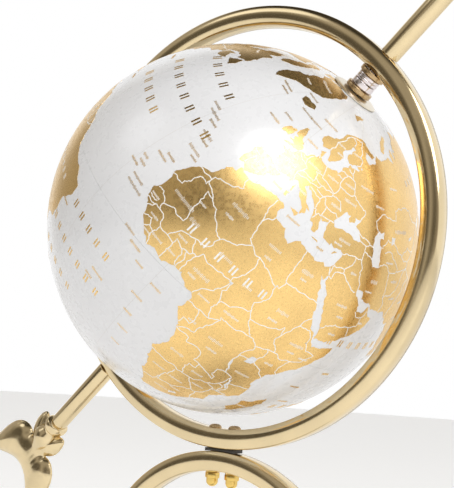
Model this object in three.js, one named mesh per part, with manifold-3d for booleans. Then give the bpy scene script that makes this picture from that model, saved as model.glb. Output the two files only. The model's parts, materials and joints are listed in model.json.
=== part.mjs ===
// Desktop globe held on an arrow-shaped axle inside a gilt meridian ring, which
// stands on a smaller ring and a stone base. Millimetres, +Z up, front towards -Y.
// The origin is the centre of the underside. Both rings lie in the XZ plane.
import * as THREE from "three";
import { mergeVertices } from "three/addons/utils/BufferGeometryUtils.js";
import Module from "manifold-3d";

const wasm = await Module();
wasm.setup();

// Fits
const TOUCH_GAP = 0.3; // between two faces that rest on each other
const RING_SEAT_GAP = 0.6; // from a flat fitting's middle to a ring's hollow inner face
const BORE_CLEARANCE = 0.3; // on the radius, between a shank and its hole
const EDGE_CHAMFER = 0.4; // on the outer edges of turned pieces
const THIN_CHAMFER = 0.15; // the same, on washers
const OVERRUN = 1; // how far a drill runs on past the face it cuts

// Globe
const GLOBE_RADIUS = 101.6;
const SHELL_WALL = 2.5;
const EQUATOR_BAND_HEIGHT = 16;
const EQUATOR_BAND_WALL = 2;
const EQUATOR_BAND_CLEARANCE = 1.3; // on the radius, under the middle of the shells

// Axle and arrow
const AXLE_TILT = 46.5; // degrees from the vertical
const STUD_RADIUS = 3;
const STUD_IN_GLOBE = 12; // length inside the globe's skin
const STUD_IN_SHAFT = 18; // length inside the arrow's shaft
const STUD_CHAMFER = 0.6;
const SHAFT_RADIUS = 5.3;
const FRONT_SHAFT_LENGTH = 76;
const REAR_SHAFT_LENGTH = 60;
const SOCKET_DEPTH = 9; // how far a shaft enters the fitting at its end

// Pole fittings
const POLE_DISC_RADIUS = 13.5;
const POLE_DISC_WALL = 0.9;
const BOSS_RADIUS = 7.6;
const BOSS_HEIGHT = 2.7;
const SPACER_RADIUS = 6.4;
const SHORT_SPACER_HEIGHT = 3.4;
const LONG_SPACER_HEIGHT = 3.6;
const LOCK_NUT_RADIUS = 7.3;
const LOCK_NUT_HEIGHT = 2.3;
const THRUST_WASHER_HEIGHT = 1;
const BUSH_WALL = 1.9;
const BUSH_FLANGE_WIDTH = 2.8; // beyond the bush's barrel
const BUSH_FLANGE_HEIGHT = 2;

// Rings
const STAND_OUTER_RADIUS = 84;
const RING_THICKNESS = 10.5; // measured along the radius
const RING_DEPTH = 12; // measured along Y
const RING_CROWN = 1.6; // how far the front and back faces bulge
const RING_JOINT_GAP = 1.4; // between the two rings, filled by the saddle

// Fasteners
const SCREW_RADIUS = 2;
const SCREW_SPREAD = 13; // between the two screws of a pair
const SCREW_HEAD_OVERHANG = 1.5; // beyond the shank
const SCREW_HEAD_HEIGHT = 2.5;
const SCREW_ENGAGEMENT = 4; // length inside the cap nut
const WASHER_OVERHANG = 1.9; // beyond the screw's shank
const WASHER_HEIGHT = 0.8;
const NUT_WALL = 0.7; // around the bore, in the dome
const NUT_HEX_WALL = 1.2; // from the bore to a flat
const NUT_HEX_HEIGHT = 3.2;
const NUT_CROWN = 1.6; // solid end beyond the bore
const SEAT_DEPTH = 0.3; // least depth of the flat cut into a ring for a head or washer
const SEAT_MARGIN = 0.6; // from a head or washer to the wall of its seat

// Arrow head
const HEAD_LENGTH = 46;
const HEAD_HALF_WIDTH = 17;
const HEAD_HALF_THICKNESS = 6.5;
const HEAD_NOTCH = 12; // how far the barbs sweep back
const FERRULE_WALL = 2.7; // at its collar
const FERRULE_NECK_WALL = 1.75;
const FERRULE_TIP_WALL = 0.8;
const FERRULE_COLLAR_LENGTH = 4;
const FERRULE_TAPER_LENGTH = 2;
const FERRULE_LENGTH = 14;

// Arrow tail
const TAIL_LENGTH = 54; // from the knuckle's face to the tips of the long barbs
const TAIL_HALF_SPAN = 27.5;
const TAIL_THICKNESS = 7.6;
const KNUCKLE_WALL = 2.9;
const KNUCKLE_LENGTH = 22;
const KNUCKLE_NOSE_WALL = 1; // at its face, where the shaft enters
const KNUCKLE_NOSE_LENGTH = 4;
const KNUCKLE_TAPER_LENGTH = 6;
const TAIL_CHAMFER = 1.4;

// Base
const BASE_LENGTH = 170;
const BASE_WIDTH = 90;
const BASE_HEIGHT = 24;
const BASE_CHAMFER = 2;
const PAD_INSET = 3;
const PAD_HEIGHT = 2;
const SADDLE_MARGIN = 0.6; // from a screw's hole to the end of the ring joint's saddle
const BASE_SADDLE_HALF_LENGTH = 16;
const BASE_SADDLE_HEIGHT = 3.2;
const BASE_SADDLE_OVERHANG = 2; // beyond the stand ring, front and back
const BASE_SCREW_RECESS = 9;
const BASE_SCREW_RECESS_MARGIN = 1.2; // from a head to the wall of its recess

// Fineness
const RING_SEGMENTS = 64;
const GLOBE_SEGMENTS = 40;
const TURNED_SEGMENTS = 20;
const SMALL_SEGMENTS = 16;

// Radii that follow from the sizes above
const studHole = STUD_RADIUS + BORE_CLEARANCE;
const shankHole = SCREW_RADIUS + BORE_CLEARANCE;
const headRadius = SCREW_RADIUS + SCREW_HEAD_OVERHANG;
const washerRadius = SCREW_RADIUS + WASHER_OVERHANG;

// The stacks of fittings between the globe's skin and the ring, at the two poles.
// The longer one at the head end sets the globe down the axle, off the ring's centre.
const poleFittings = POLE_DISC_WALL + BOSS_HEIGHT + 3 * TOUCH_GAP;
const northStack = poleFittings + SHORT_SPACER_HEIGHT + LONG_SPACER_HEIGHT
  + LOCK_NUT_HEIGHT + 2 * TOUCH_GAP + RING_SEAT_GAP;
const southStack = poleFittings + THRUST_WASHER_HEIGHT + RING_SEAT_GAP;
const globeSink = (northStack - southStack) / 2;
const meridianInner = GLOBE_RADIUS + (northStack + southStack) / 2;
const meridianOuter = meridianInner + RING_THICKNESS;
const standInner = STAND_OUTER_RADIUS - RING_THICKNESS;

// Heights that follow
const baseBottom = PAD_HEIGHT + TOUCH_GAP;
const baseTop = baseBottom + BASE_HEIGHT;
const baseSaddleBottom = baseTop + TOUCH_GAP;
const standBottom = baseSaddleBottom + BASE_SADDLE_HEIGHT / 2 + TOUCH_GAP;
const standCentre = standBottom + STAND_OUTER_RADIUS;
const standTop = standCentre + STAND_OUTER_RADIUS;
const meridianBottom = standTop + RING_JOINT_GAP;
const meridianCentre = meridianBottom + meridianOuter;
const tilt = THREE.MathUtils.degToRad(AXLE_TILT);

const finishes = {
  gilt: new THREE.MeshStandardMaterial({ color: 0xc9a865, metalness: 1, roughness: 0.16 }),
  bright: new THREE.MeshStandardMaterial({ color: 0xc8c4c2, metalness: 1, roughness: 0.12 }),
  yellow: new THREE.MeshStandardMaterial({ color: 0xd0a032, metalness: 1, roughness: 0.22 }),
  dark: new THREE.MeshStandardMaterial({ color: 0x241f18, metalness: 0, roughness: 0.6 }),
  pearl: new THREE.MeshStandardMaterial({ color: 0xeceae6, metalness: 0, roughness: 0.25 }),
  bush: new THREE.MeshStandardMaterial({ color: 0xd9d5cc, metalness: 0, roughness: 0.5 }),
  stone: new THREE.MeshStandardMaterial({ color: 0xe9e6e1, metalness: 0, roughness: 0.3 }),
  pad: new THREE.MeshStandardMaterial({ color: 0x2a2927, metalness: 0, roughness: 0.95 }),
};

const model = new THREE.Group();

// Solids ---------------------------------------------------------------------

// A closed manifold solid from a three.js geometry, with its faces pointing out.
function solid(geometry) {
  const bare = geometry.clone();
  bare.deleteAttribute("normal");
  bare.deleteAttribute("uv");
  const merged = mergeVertices(bare, 1e-4);
  const points = merged.attributes.position.array;
  const kept = [];
  let volume = 0;
  for (let i = 0; i < merged.index.count; i += 3) {
    const corner = [0, 1, 2].map((k) => merged.index.getX(i + k));
    if (new Set(corner).size < 3) continue;
    const [a, b, c] = corner.map((n) => new THREE.Vector3().fromArray(points, n * 3));
    volume += a.dot(b.cross(c));
    kept.push(corner);
  }
  const outward = volume < 0 ? kept.map(([a, b, c]) => [a, c, b]) : kept;
  return new wasm.Manifold(new wasm.Mesh({
    numProp: 3,
    vertProperties: new Float32Array(points),
    triVerts: new Uint32Array(outward.flat()),
  }));
}

// A named mesh of a manifold solid, added to a group of the model.
function place(parent, name, body, finish) {
  const cut = body.getMesh();
  const geometry = new THREE.BufferGeometry();
  geometry.setAttribute("position", new THREE.BufferAttribute(cut.vertProperties, 3));
  geometry.setIndex(new THREE.BufferAttribute(cut.triVerts, 1));
  geometry.computeVertexNormals();
  const mesh = new THREE.Mesh(geometry, finish);
  mesh.name = name;
  parent.add(mesh);
  return mesh;
}

// A solid turned about Z from [radius, height] pairs.
function turned(profile, segments = TURNED_SEGMENTS) {
  const points = profile.map(([radius, height]) => new THREE.Vector2(radius, height));
  return solid(new THREE.LatheGeometry(points, segments).rotateX(Math.PI / 2));
}

// A plain washer or sleeve about Z, with a small chamfer on its outer edges.
function sleeve(radius, bore, low, high, chamfer = EDGE_CHAMFER) {
  return turned([
    [bore, low],
    [radius - chamfer, low],
    [radius, low + chamfer],
    [radius, high - chamfer],
    [radius - chamfer, high],
    [bore, high],
    [bore, low],
  ]);
}

// A plain round bar about Z, used for shafts and as a drill.
function bar(radius, low, high, segments = TURNED_SEGMENTS) {
  return turned([[0, low], [radius, low], [radius, high], [0, high]], segments);
}

// A flat outline of [x, y] pairs given a thickness along Z, centred on z = 0.
function plate(outline, thickness, chamfer) {
  const shape = new THREE.Shape(outline.map(([x, y]) => new THREE.Vector2(x, y)));
  const geometry = new THREE.ExtrudeGeometry(shape, {
    depth: thickness - 2 * chamfer,
    bevelEnabled: chamfer > 0,
    bevelThickness: chamfer,
    bevelSize: chamfer,
    bevelOffset: -chamfer,
    bevelSegments: 1,
    steps: 1,
  });
  return solid(geometry.translate(0, 0, chamfer - thickness / 2));
}

function box(halfLength, halfWidth, low, high) {
  const geometry = new THREE.BoxGeometry(2 * halfLength, 2 * halfWidth, high - low);
  return solid(geometry.translate(0, 0, (low + high) / 2));
}

// Rings ----------------------------------------------------------------------

// A ring about Y whose front and back faces are crowned.
function ring(outer, inner) {
  const half = RING_DEPTH / 2;
  const middle = (outer + inner) / 2;
  const shoulder = half - RING_CROWN;
  const quarter = (outer - inner) / 4;
  const profile = [
    [inner, -shoulder],
    [middle - quarter, -half + RING_CROWN / 4],
    [middle, -half],
    [middle + quarter, -half + RING_CROWN / 4],
    [outer, -shoulder],
    [outer, shoulder],
    [middle + quarter, half - RING_CROWN / 4],
    [middle, half],
    [middle - quarter, half - RING_CROWN / 4],
    [inner, shoulder],
    [inner, -shoulder],
  ];
  return turned(profile, RING_SEGMENTS).rotate([90, 0, 0]);
}

const screwPlaces = [["left", -SCREW_SPREAD / 2], ["right", SCREW_SPREAD / 2]];

// Drills for a pair of upright screws, with a flat seat from seatLow to seatHigh.
function screwDrills(low, high, seatLow, seatHigh, seatRadius) {
  const drills = screwPlaces.map(([, x]) => bar(shankHole, low, high, SMALL_SEGMENTS).translate(x, 0, 0));
  const seat = bar(seatRadius, seatLow, seatHigh, SMALL_SEGMENTS);
  const seats = screwPlaces.map(([, x]) => seat.translate(x, 0, 0));
  return wasm.Manifold.union([...drills, ...seats]);
}

// A seat's distance from the ring's centre: it clears the curved face everywhere.
function seatHeight(inner, seatRadius) {
  const edge = Math.max(0, SCREW_SPREAD / 2 - seatRadius);
  return Math.sqrt(inner * inner - edge * edge) + SEAT_DEPTH;
}

const headSeatRadius = headRadius + SEAT_MARGIN;
const washerSeatRadius = washerRadius + SEAT_MARGIN;
const meridianSeat = seatHeight(meridianInner, headSeatRadius);
const standSeat = seatHeight(standInner, washerSeatRadius);
const beyond = 2 * RING_THICKNESS;

const studDrill = bar(studHole, -meridianOuter - beyond, meridianOuter + beyond)
  .rotate([0, AXLE_TILT, 0]);
const meridianRing = ring(meridianOuter, meridianInner)
  .subtract(studDrill)
  .subtract(screwDrills(-meridianOuter - beyond, -meridianInner + beyond,
    -meridianSeat, -meridianInner + beyond, headSeatRadius));
const standRing = ring(STAND_OUTER_RADIUS, standInner)
  .subtract(screwDrills(standInner - beyond, STAND_OUTER_RADIUS + beyond,
    standInner - beyond, standSeat, washerSeatRadius))
  .subtract(screwDrills(-STAND_OUTER_RADIUS - beyond, -standInner + beyond,
    -standSeat, -standInner + beyond, washerSeatRadius));

const meridianGroup = new THREE.Group();
meridianGroup.position.z = meridianCentre;
const standGroup = new THREE.Group();
standGroup.position.z = standCentre;
model.add(meridianGroup, standGroup);
place(meridianGroup, "meridian_ring", meridianRing, finishes.gilt);
place(standGroup, "stand_ring", standRing, finishes.gilt);

// The outside of a ring, grown by the touching gap, for cutting what rests on it.
function ringRound(outer, centre) {
  const round = bar(outer + TOUCH_GAP, -RING_DEPTH, RING_DEPTH, 4 * RING_SEGMENTS);
  return round.rotate([90, 0, 0]).translate(0, 0, centre);
}

const saddleHalfDepth = RING_DEPTH / 2 - RING_CROWN;
const saddleHalfLength = SCREW_SPREAD / 2 + shankHole + SADDLE_MARGIN;
const jointSaddle = box(saddleHalfLength, saddleHalfDepth,
  standTop - RING_JOINT_GAP, meridianBottom + RING_JOINT_GAP)
  .subtract(ringRound(STAND_OUTER_RADIUS, standCentre))
  .subtract(ringRound(meridianOuter, meridianCentre))
  .subtract(screwDrills(standCentre, meridianCentre, standCentre, standCentre + OVERRUN, shankHole));
place(model, "ring_joint_saddle", jointSaddle, finishes.dark);

const baseSaddle = box(BASE_SADDLE_HALF_LENGTH, RING_DEPTH / 2 + BASE_SADDLE_OVERHANG,
  baseSaddleBottom, baseSaddleBottom + BASE_SADDLE_HEIGHT)
  .subtract(ringRound(STAND_OUTER_RADIUS, standCentre))
  .subtract(screwDrills(0, standCentre, 0, OVERRUN, shankHole));
place(model, "base_saddle", baseSaddle, finishes.gilt);

// Fasteners ------------------------------------------------------------------

// A pan-head screw standing on its tip: the shank rises from tip to underHead.
function screw(tip, underHead) {
  return turned([
    [0, tip],
    [SCREW_RADIUS - EDGE_CHAMFER, tip],
    [SCREW_RADIUS, tip + EDGE_CHAMFER],
    [SCREW_RADIUS, underHead],
    [headRadius, underHead],
    [headRadius, underHead + 0.5 * SCREW_HEAD_HEIGHT],
    [0.7 * headRadius, underHead + 0.9 * SCREW_HEAD_HEIGHT],
    [0, underHead + SCREW_HEAD_HEIGHT],
  ], SMALL_SEGMENTS);
}

// A domed cap nut hanging from z = 0, with a blind bore that opens upwards.
function capNut() {
  const corner = (shankHole + NUT_HEX_WALL) / Math.cos(Math.PI / 6);
  const domeRadius = shankHole + NUT_WALL;
  const boreEnd = -SCREW_ENGAGEMENT - 2 * TOUCH_GAP;
  const end = boreEnd - NUT_CROWN - domeRadius / 2;
  const hexagon = bar(corner, -NUT_HEX_HEIGHT, 0, 6);
  const dome = turned([
    [0, end],
    [0.5 * domeRadius, end + 0.12 * domeRadius],
    [0.87 * domeRadius, end + 0.45 * domeRadius],
    [domeRadius, end + domeRadius],
    [domeRadius, -NUT_HEX_HEIGHT / 2],
    [0, -NUT_HEX_HEIGHT / 2],
  ], SMALL_SEGMENTS);
  return hexagon.add(dome).subtract(bar(shankHole, boreEnd, OVERRUN, SMALL_SEGMENTS));
}

// The joint's screws point down, with their heads inside the meridian ring.
for (const [side, x] of screwPlaces) {
  const underHead = meridianCentre - meridianSeat + TOUCH_GAP;
  const washerTop = standCentre + standSeat - TOUCH_GAP;
  const nutTop = washerTop - WASHER_HEIGHT - TOUCH_GAP;
  const washer = sleeve(washerRadius, shankHole, washerTop - WASHER_HEIGHT, washerTop, THIN_CHAMFER);
  const fastener = screw(nutTop - SCREW_ENGAGEMENT, underHead);
  place(model, `ring_joint_screw_${side}`, fastener.translate(x, 0, 0), finishes.yellow);
  place(model, `ring_joint_washer_${side}`, washer.translate(x, 0, 0), finishes.yellow);
  place(model, `ring_joint_cap_nut_${side}`, capNut().translate(x, 0, nutTop), finishes.yellow);
}

// The base's screws point up through the stone, with cap nuts inside the stand ring.
for (const [side, x] of screwPlaces) {
  const headFace = baseBottom + BASE_SCREW_RECESS - TOUCH_GAP;
  const washerBottom = standCentre - standSeat + TOUCH_GAP;
  const washerHigh = washerBottom + WASHER_HEIGHT;
  const nutBottom = washerHigh + TOUCH_GAP;
  const washer = sleeve(washerRadius, shankHole, washerBottom, washerHigh, THIN_CHAMFER);
  const fastener = screw(-nutBottom - SCREW_ENGAGEMENT, -headFace).rotate([180, 0, 0]);
  const nut = capNut().rotate([180, 0, 0]).translate(x, 0, nutBottom);
  place(model, `base_screw_${side}`, fastener.translate(x, 0, 0), finishes.yellow);
  place(model, `base_washer_${side}`, washer.translate(x, 0, 0), finishes.yellow);
  place(model, `base_cap_nut_${side}`, nut, finishes.yellow);
}

// Base -----------------------------------------------------------------------

const baseOutline = [
  [-BASE_LENGTH / 2, -BASE_WIDTH / 2],
  [BASE_LENGTH / 2, -BASE_WIDTH / 2],
  [BASE_LENGTH / 2, BASE_WIDTH / 2],
  [-BASE_LENGTH / 2, BASE_WIDTH / 2],
];
const recessRadius = headRadius + BASE_SCREW_RECESS_MARGIN;
const baseBlock = plate(baseOutline, BASE_HEIGHT, BASE_CHAMFER)
  .translate(0, 0, baseBottom + BASE_HEIGHT / 2)
  .subtract(screwDrills(0, baseTop + OVERRUN, 0, baseBottom + BASE_SCREW_RECESS, recessRadius));
const pad = box(BASE_LENGTH / 2 - PAD_INSET, BASE_WIDTH / 2 - PAD_INSET, 0, PAD_HEIGHT);
place(model, "base_block", baseBlock, finishes.stone);
place(model, "base_pad", pad, finishes.pad);

// Axle frame: origin at the meridian ring's centre, +Z towards the arrow head --

const axle = new THREE.Group();
axle.position.z = meridianCentre;
axle.rotation.y = tilt;
model.add(axle);
const globe = new THREE.Group();
globe.position.z = -globeSink;
axle.add(globe);

// Globe, about its own centre
const bushRadius = studHole + BUSH_WALL;
const bushFlangeRadius = bushRadius + BUSH_FLANGE_WIDTH;
const poleHole = bushRadius + BORE_CLEARANCE;
const equatorGap = TOUCH_GAP / 2;

// Points on a sphere's profile, from near the equator to the pole's hole.
function sphereArc(radius, rows) {
  const from = Math.asin(equatorGap / radius);
  const to = Math.acos(poleHole / radius);
  return Array.from({ length: rows + 1 }, (_, i) => {
    const angle = from + ((to - from) * i) / rows;
    return [radius * Math.cos(angle), radius * Math.sin(angle)];
  });
}

function hemisphere() {
  const outside = sphereArc(GLOBE_RADIUS, 11);
  const inside = sphereArc(GLOBE_RADIUS - SHELL_WALL, 7).reverse();
  return turned([...outside, ...inside, outside[0]], GLOBE_SEGMENTS);
}

const bandRadius = GLOBE_RADIUS - SHELL_WALL - EQUATOR_BAND_CLEARANCE;
const equatorBand = turned([
  [bandRadius - EQUATOR_BAND_WALL, -EQUATOR_BAND_HEIGHT / 2],
  [bandRadius, -EQUATOR_BAND_HEIGHT / 2],
  [bandRadius, EQUATOR_BAND_HEIGHT / 2],
  [bandRadius - EQUATOR_BAND_WALL, EQUATOR_BAND_HEIGHT / 2],
  [bandRadius - EQUATOR_BAND_WALL, -EQUATOR_BAND_HEIGHT / 2],
], GLOBE_SEGMENTS);

place(globe, "globe_shell_north", hemisphere(), finishes.pearl);
place(globe, "globe_shell_south", hemisphere().rotate([180, 0, 0]), finishes.pearl);
place(globe, "equator_band", equatorBand, finishes.bush);

// What sits on a pole, measured outwards from the globe's centre
const shellInside = GLOBE_RADIUS - SHELL_WALL;
const bushFace = Math.sqrt(shellInside ** 2 - bushFlangeRadius ** 2) - TOUCH_GAP;
const bushTop = Math.sqrt(GLOBE_RADIUS ** 2 - poleHole ** 2);
const discInner = GLOBE_RADIUS + TOUCH_GAP;
const discRimDrop = GLOBE_RADIUS - Math.sqrt(GLOBE_RADIUS ** 2 - POLE_DISC_RADIUS ** 2);
const discTop = discInner + POLE_DISC_WALL;
const bossBottom = discTop + TOUCH_GAP;
const bossTop = bossBottom + BOSS_HEIGHT;

const poleBush = turned([
  [studHole, bushFace - BUSH_FLANGE_HEIGHT],
  [bushFlangeRadius, bushFace - BUSH_FLANGE_HEIGHT],
  [bushFlangeRadius, bushFace],
  [bushRadius, bushFace],
  [bushRadius, bushTop],
  [studHole, bushTop],
  [studHole, bushFace - BUSH_FLANGE_HEIGHT],
]);
const poleDisc = turned([
  [studHole, discInner],
  [BOSS_RADIUS, discInner],
  [POLE_DISC_RADIUS, discInner - discRimDrop / 2],
  [POLE_DISC_RADIUS, discTop - discRimDrop / 2],
  [BOSS_RADIUS, discTop],
  [studHole, discTop],
  [studHole, discInner],
], 2 * TURNED_SEGMENTS);
const poleBoss = sleeve(BOSS_RADIUS, studHole, bossBottom, bossTop);

for (const [pole, turn] of [["north", 0], ["south", 180]]) {
  place(globe, `${pole}_pole_bush`, poleBush.rotate([turn, 0, 0]), finishes.bush);
  place(globe, `${pole}_pole_disc`, poleDisc.rotate([turn, 0, 0]), finishes.yellow);
  place(globe, `${pole}_pole_boss`, poleBoss.rotate([turn, 0, 0]), finishes.yellow);
}

// Spacers between the pole bosses and the ring, in the axle frame
let level = bossTop - globeSink + TOUCH_GAP;
for (const [name, radius, height] of [
  ["north_short_spacer", SPACER_RADIUS, SHORT_SPACER_HEIGHT],
  ["north_long_spacer", SPACER_RADIUS, LONG_SPACER_HEIGHT],
  ["north_lock_nut", LOCK_NUT_RADIUS, LOCK_NUT_HEIGHT],
]) {
  place(axle, name, sleeve(radius, studHole, level, level + height), finishes.bright);
  level += height + TOUCH_GAP;
}
const thrustLow = bossTop + globeSink + TOUCH_GAP;
const thrustHigh = thrustLow + THRUST_WASHER_HEIGHT;
const thrustWasher = sleeve(SPACER_RADIUS, studHole, thrustLow, thrustHigh, THIN_CHAMFER);
place(axle, "south_thrust_washer", thrustWasher.rotate([180, 0, 0]), finishes.bright);

// Axle studs join the ring, the spacers and the two halves of the arrow's shaft.
function stud(inner) {
  const outer = meridianOuter + STUD_IN_SHAFT;
  return turned([
    [0, inner],
    [STUD_RADIUS - STUD_CHAMFER, inner],
    [STUD_RADIUS, inner + STUD_CHAMFER],
    [STUD_RADIUS, outer - STUD_CHAMFER],
    [STUD_RADIUS - STUD_CHAMFER, outer],
    [0, outer],
  ]);
}

place(axle, "north_axle_stud", stud(GLOBE_RADIUS - globeSink - STUD_IN_GLOBE), finishes.bright);
place(axle, "south_axle_stud",
  stud(GLOBE_RADIUS + globeSink - STUD_IN_GLOBE).rotate([180, 0, 0]), finishes.bright);

// Arrow ----------------------------------------------------------------------

const shaftStart = meridianOuter + TOUCH_GAP;

// A shaft with a blind bore for the stud, drilled from its end at the ring.
function shaft(length) {
  const bore = bar(studHole, shaftStart - OVERRUN, shaftStart + STUD_IN_SHAFT + TOUCH_GAP);
  return sleeve(SHAFT_RADIUS, 0, shaftStart, shaftStart + length).subtract(bore);
}

place(axle, "arrow_front_shaft", shaft(FRONT_SHAFT_LENGTH), finishes.gilt);
place(axle, "arrow_rear_shaft", shaft(REAR_SHAFT_LENGTH).rotate([180, 0, 0]), finishes.gilt);

// Ferrule and head at the front end
const frontEnd = shaftStart + FRONT_SHAFT_LENGTH;
const ferruleLow = frontEnd - SOCKET_DEPTH;
const ferruleHigh = ferruleLow + FERRULE_LENGTH;
const ferruleRadius = SHAFT_RADIUS + FERRULE_WALL;
const shaftSocket = SHAFT_RADIUS + BORE_CLEARANCE;
const ferrule = turned([
  [0, ferruleLow],
  [SHAFT_RADIUS + FERRULE_NECK_WALL, ferruleLow],
  [ferruleRadius, ferruleLow + FERRULE_COLLAR_LENGTH / 3],
  [ferruleRadius, ferruleLow + FERRULE_COLLAR_LENGTH],
  [SHAFT_RADIUS + FERRULE_NECK_WALL, ferruleLow + 4 / 3 * FERRULE_COLLAR_LENGTH],
  [SHAFT_RADIUS + FERRULE_NECK_WALL, ferruleHigh - FERRULE_TAPER_LENGTH],
  [SHAFT_RADIUS + FERRULE_TIP_WALL, ferruleHigh],
  [0, ferruleHigh],
]).subtract(bar(shaftSocket, ferruleLow - OVERRUN, frontEnd + TOUCH_GAP));
place(axle, "arrow_head_ferrule", ferrule, finishes.gilt);

// The head is a four-faced blade: its outline lies in the ring's plane.
const headLow = ferruleHigh + TOUCH_GAP;
function arrowHead() {
  const points = [
    [0, 0, headLow + HEAD_LENGTH],
    [HEAD_HALF_WIDTH, 0, headLow - HEAD_NOTCH],
    [0, HEAD_HALF_THICKNESS, headLow],
    [-HEAD_HALF_WIDTH, 0, headLow - HEAD_NOTCH],
    [0, -HEAD_HALF_THICKNESS, headLow],
    [0, 0, headLow],
  ];
  const faces = [
    [0, 1, 2], [0, 2, 3], [0, 3, 4], [0, 4, 1],
    [5, 2, 1], [5, 3, 2], [5, 4, 3], [5, 1, 4],
  ];
  const geometry = new THREE.BufferGeometry();
  geometry.setAttribute("position", new THREE.Float32BufferAttribute(points.flat(), 3));
  geometry.setIndex(faces.flat());
  return solid(geometry);
}
const ferruleRoom = bar(ferruleRadius + TOUCH_GAP, ferruleLow - OVERRUN, headLow);
place(axle, "arrow_head", arrowHead().subtract(ferruleRoom), finishes.gilt);

// The tail is cast in one piece: a knuckle around the shaft and two pairs of barbs.
// Its outline is drawn with x back along the shaft from the knuckle's face and
// y across it, as shares of the tail's length and half span.
function tailOutline() {
  const upper = [
    [0.02, 0.17], [0.06, 0.4], [0.125, 0.49], [0.24, 0.5], [0.33, 0.43],
    [0.43, 0.28], [0.4, 0.45], [0.45, 0.66], [0.54, 0.82], [0.7, 0.93],
    [0.86, 0.99], [1, 1], [0.95, 0.82], [0.88, 0.63], [0.8, 0.42],
    [0.75, 0.2], [0.73, 0],
  ];
  const lower = upper.slice(0, -1).map(([x, y]) => [x, -y]).reverse();
  return [...upper, ...lower].map(([x, y]) => [x * TAIL_LENGTH, y * TAIL_HALF_SPAN]);
}

const rearEnd = shaftStart + REAR_SHAFT_LENGTH;
const knuckleLow = rearEnd - SOCKET_DEPTH;
const knuckleRadius = SHAFT_RADIUS + KNUCKLE_WALL;
const knuckle = turned([
  [0, 0],
  [SHAFT_RADIUS + KNUCKLE_NOSE_WALL, 0],
  [knuckleRadius, KNUCKLE_NOSE_LENGTH],
  [knuckleRadius, KNUCKLE_LENGTH - KNUCKLE_TAPER_LENGTH],
  [SHAFT_RADIUS, KNUCKLE_LENGTH],
  [0, KNUCKLE_LENGTH],
], SMALL_SEGMENTS);
const barbs = plate(tailOutline(), TAIL_THICKNESS, TAIL_CHAMFER)
  .rotate([90, 0, 0])
  .rotate([0, -90, 0]);
const tail = knuckle.add(barbs)
  .translate(0, 0, knuckleLow)
  .subtract(bar(shaftSocket, knuckleLow - OVERRUN, rearEnd + TOUCH_GAP));
place(axle, "arrow_tail", tail.rotate([180, 0, 0]), finishes.gilt);

export default model;
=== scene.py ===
"""A desktop globe that turns on an arrow-shaped axle inside a gilt ring, on a ring stand and a stone base."""

import json
import math
import random

import bmesh
import bpy
from mathutils import Euler, Matrix, Vector, noise
from mathutils.geometry import intersect_point_line


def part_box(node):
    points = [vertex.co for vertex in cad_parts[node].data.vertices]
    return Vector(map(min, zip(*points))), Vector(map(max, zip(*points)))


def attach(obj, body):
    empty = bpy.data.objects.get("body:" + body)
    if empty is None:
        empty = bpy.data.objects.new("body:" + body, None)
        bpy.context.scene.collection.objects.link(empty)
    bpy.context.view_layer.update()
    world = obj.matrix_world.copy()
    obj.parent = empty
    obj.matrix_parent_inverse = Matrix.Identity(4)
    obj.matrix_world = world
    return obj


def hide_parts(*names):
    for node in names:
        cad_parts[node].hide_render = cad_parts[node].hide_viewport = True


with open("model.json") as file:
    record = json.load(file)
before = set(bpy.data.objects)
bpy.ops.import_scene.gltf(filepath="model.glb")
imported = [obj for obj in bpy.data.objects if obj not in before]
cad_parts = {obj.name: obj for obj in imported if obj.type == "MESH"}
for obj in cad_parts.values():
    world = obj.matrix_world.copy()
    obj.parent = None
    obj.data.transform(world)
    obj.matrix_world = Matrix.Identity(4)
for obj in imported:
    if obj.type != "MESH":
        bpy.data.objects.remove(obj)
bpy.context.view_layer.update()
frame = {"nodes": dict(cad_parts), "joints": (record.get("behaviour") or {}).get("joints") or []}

bl_info = {
    "name": "Arrow Globe Looks",
    "version": (1, 0, 0),
    "blender": (4, 5, 0),
    "location": "View3D > Sidebar > Globe",
    "description": "Makes the visible pieces of a desk globe with an arrow axle around its packed model",
    "category": "Object",
}

MM = 0.001

# The noise that bends the coasts takes its seed from the clock unless it is given one. Most seeds make some
# coast cross itself: of 1 to 40 only 15 and 35 do not, so a change of the coasts needs this looked at again.
COAST_SEED = 15
COAST_BEND = 0.6  # degrees

FOOT = -0.03 * MM  # how far a print's underside is sunk into the sea
GRID = 2.5  # degrees between the cuts that let a flat print bend


# Map ----------------------------------------------------------------------------
# Each outline is a list of longitude and latitude pairs, in degrees. The first loop of a land is its
# coast, and the loops after it are inland seas and lakes.

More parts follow.
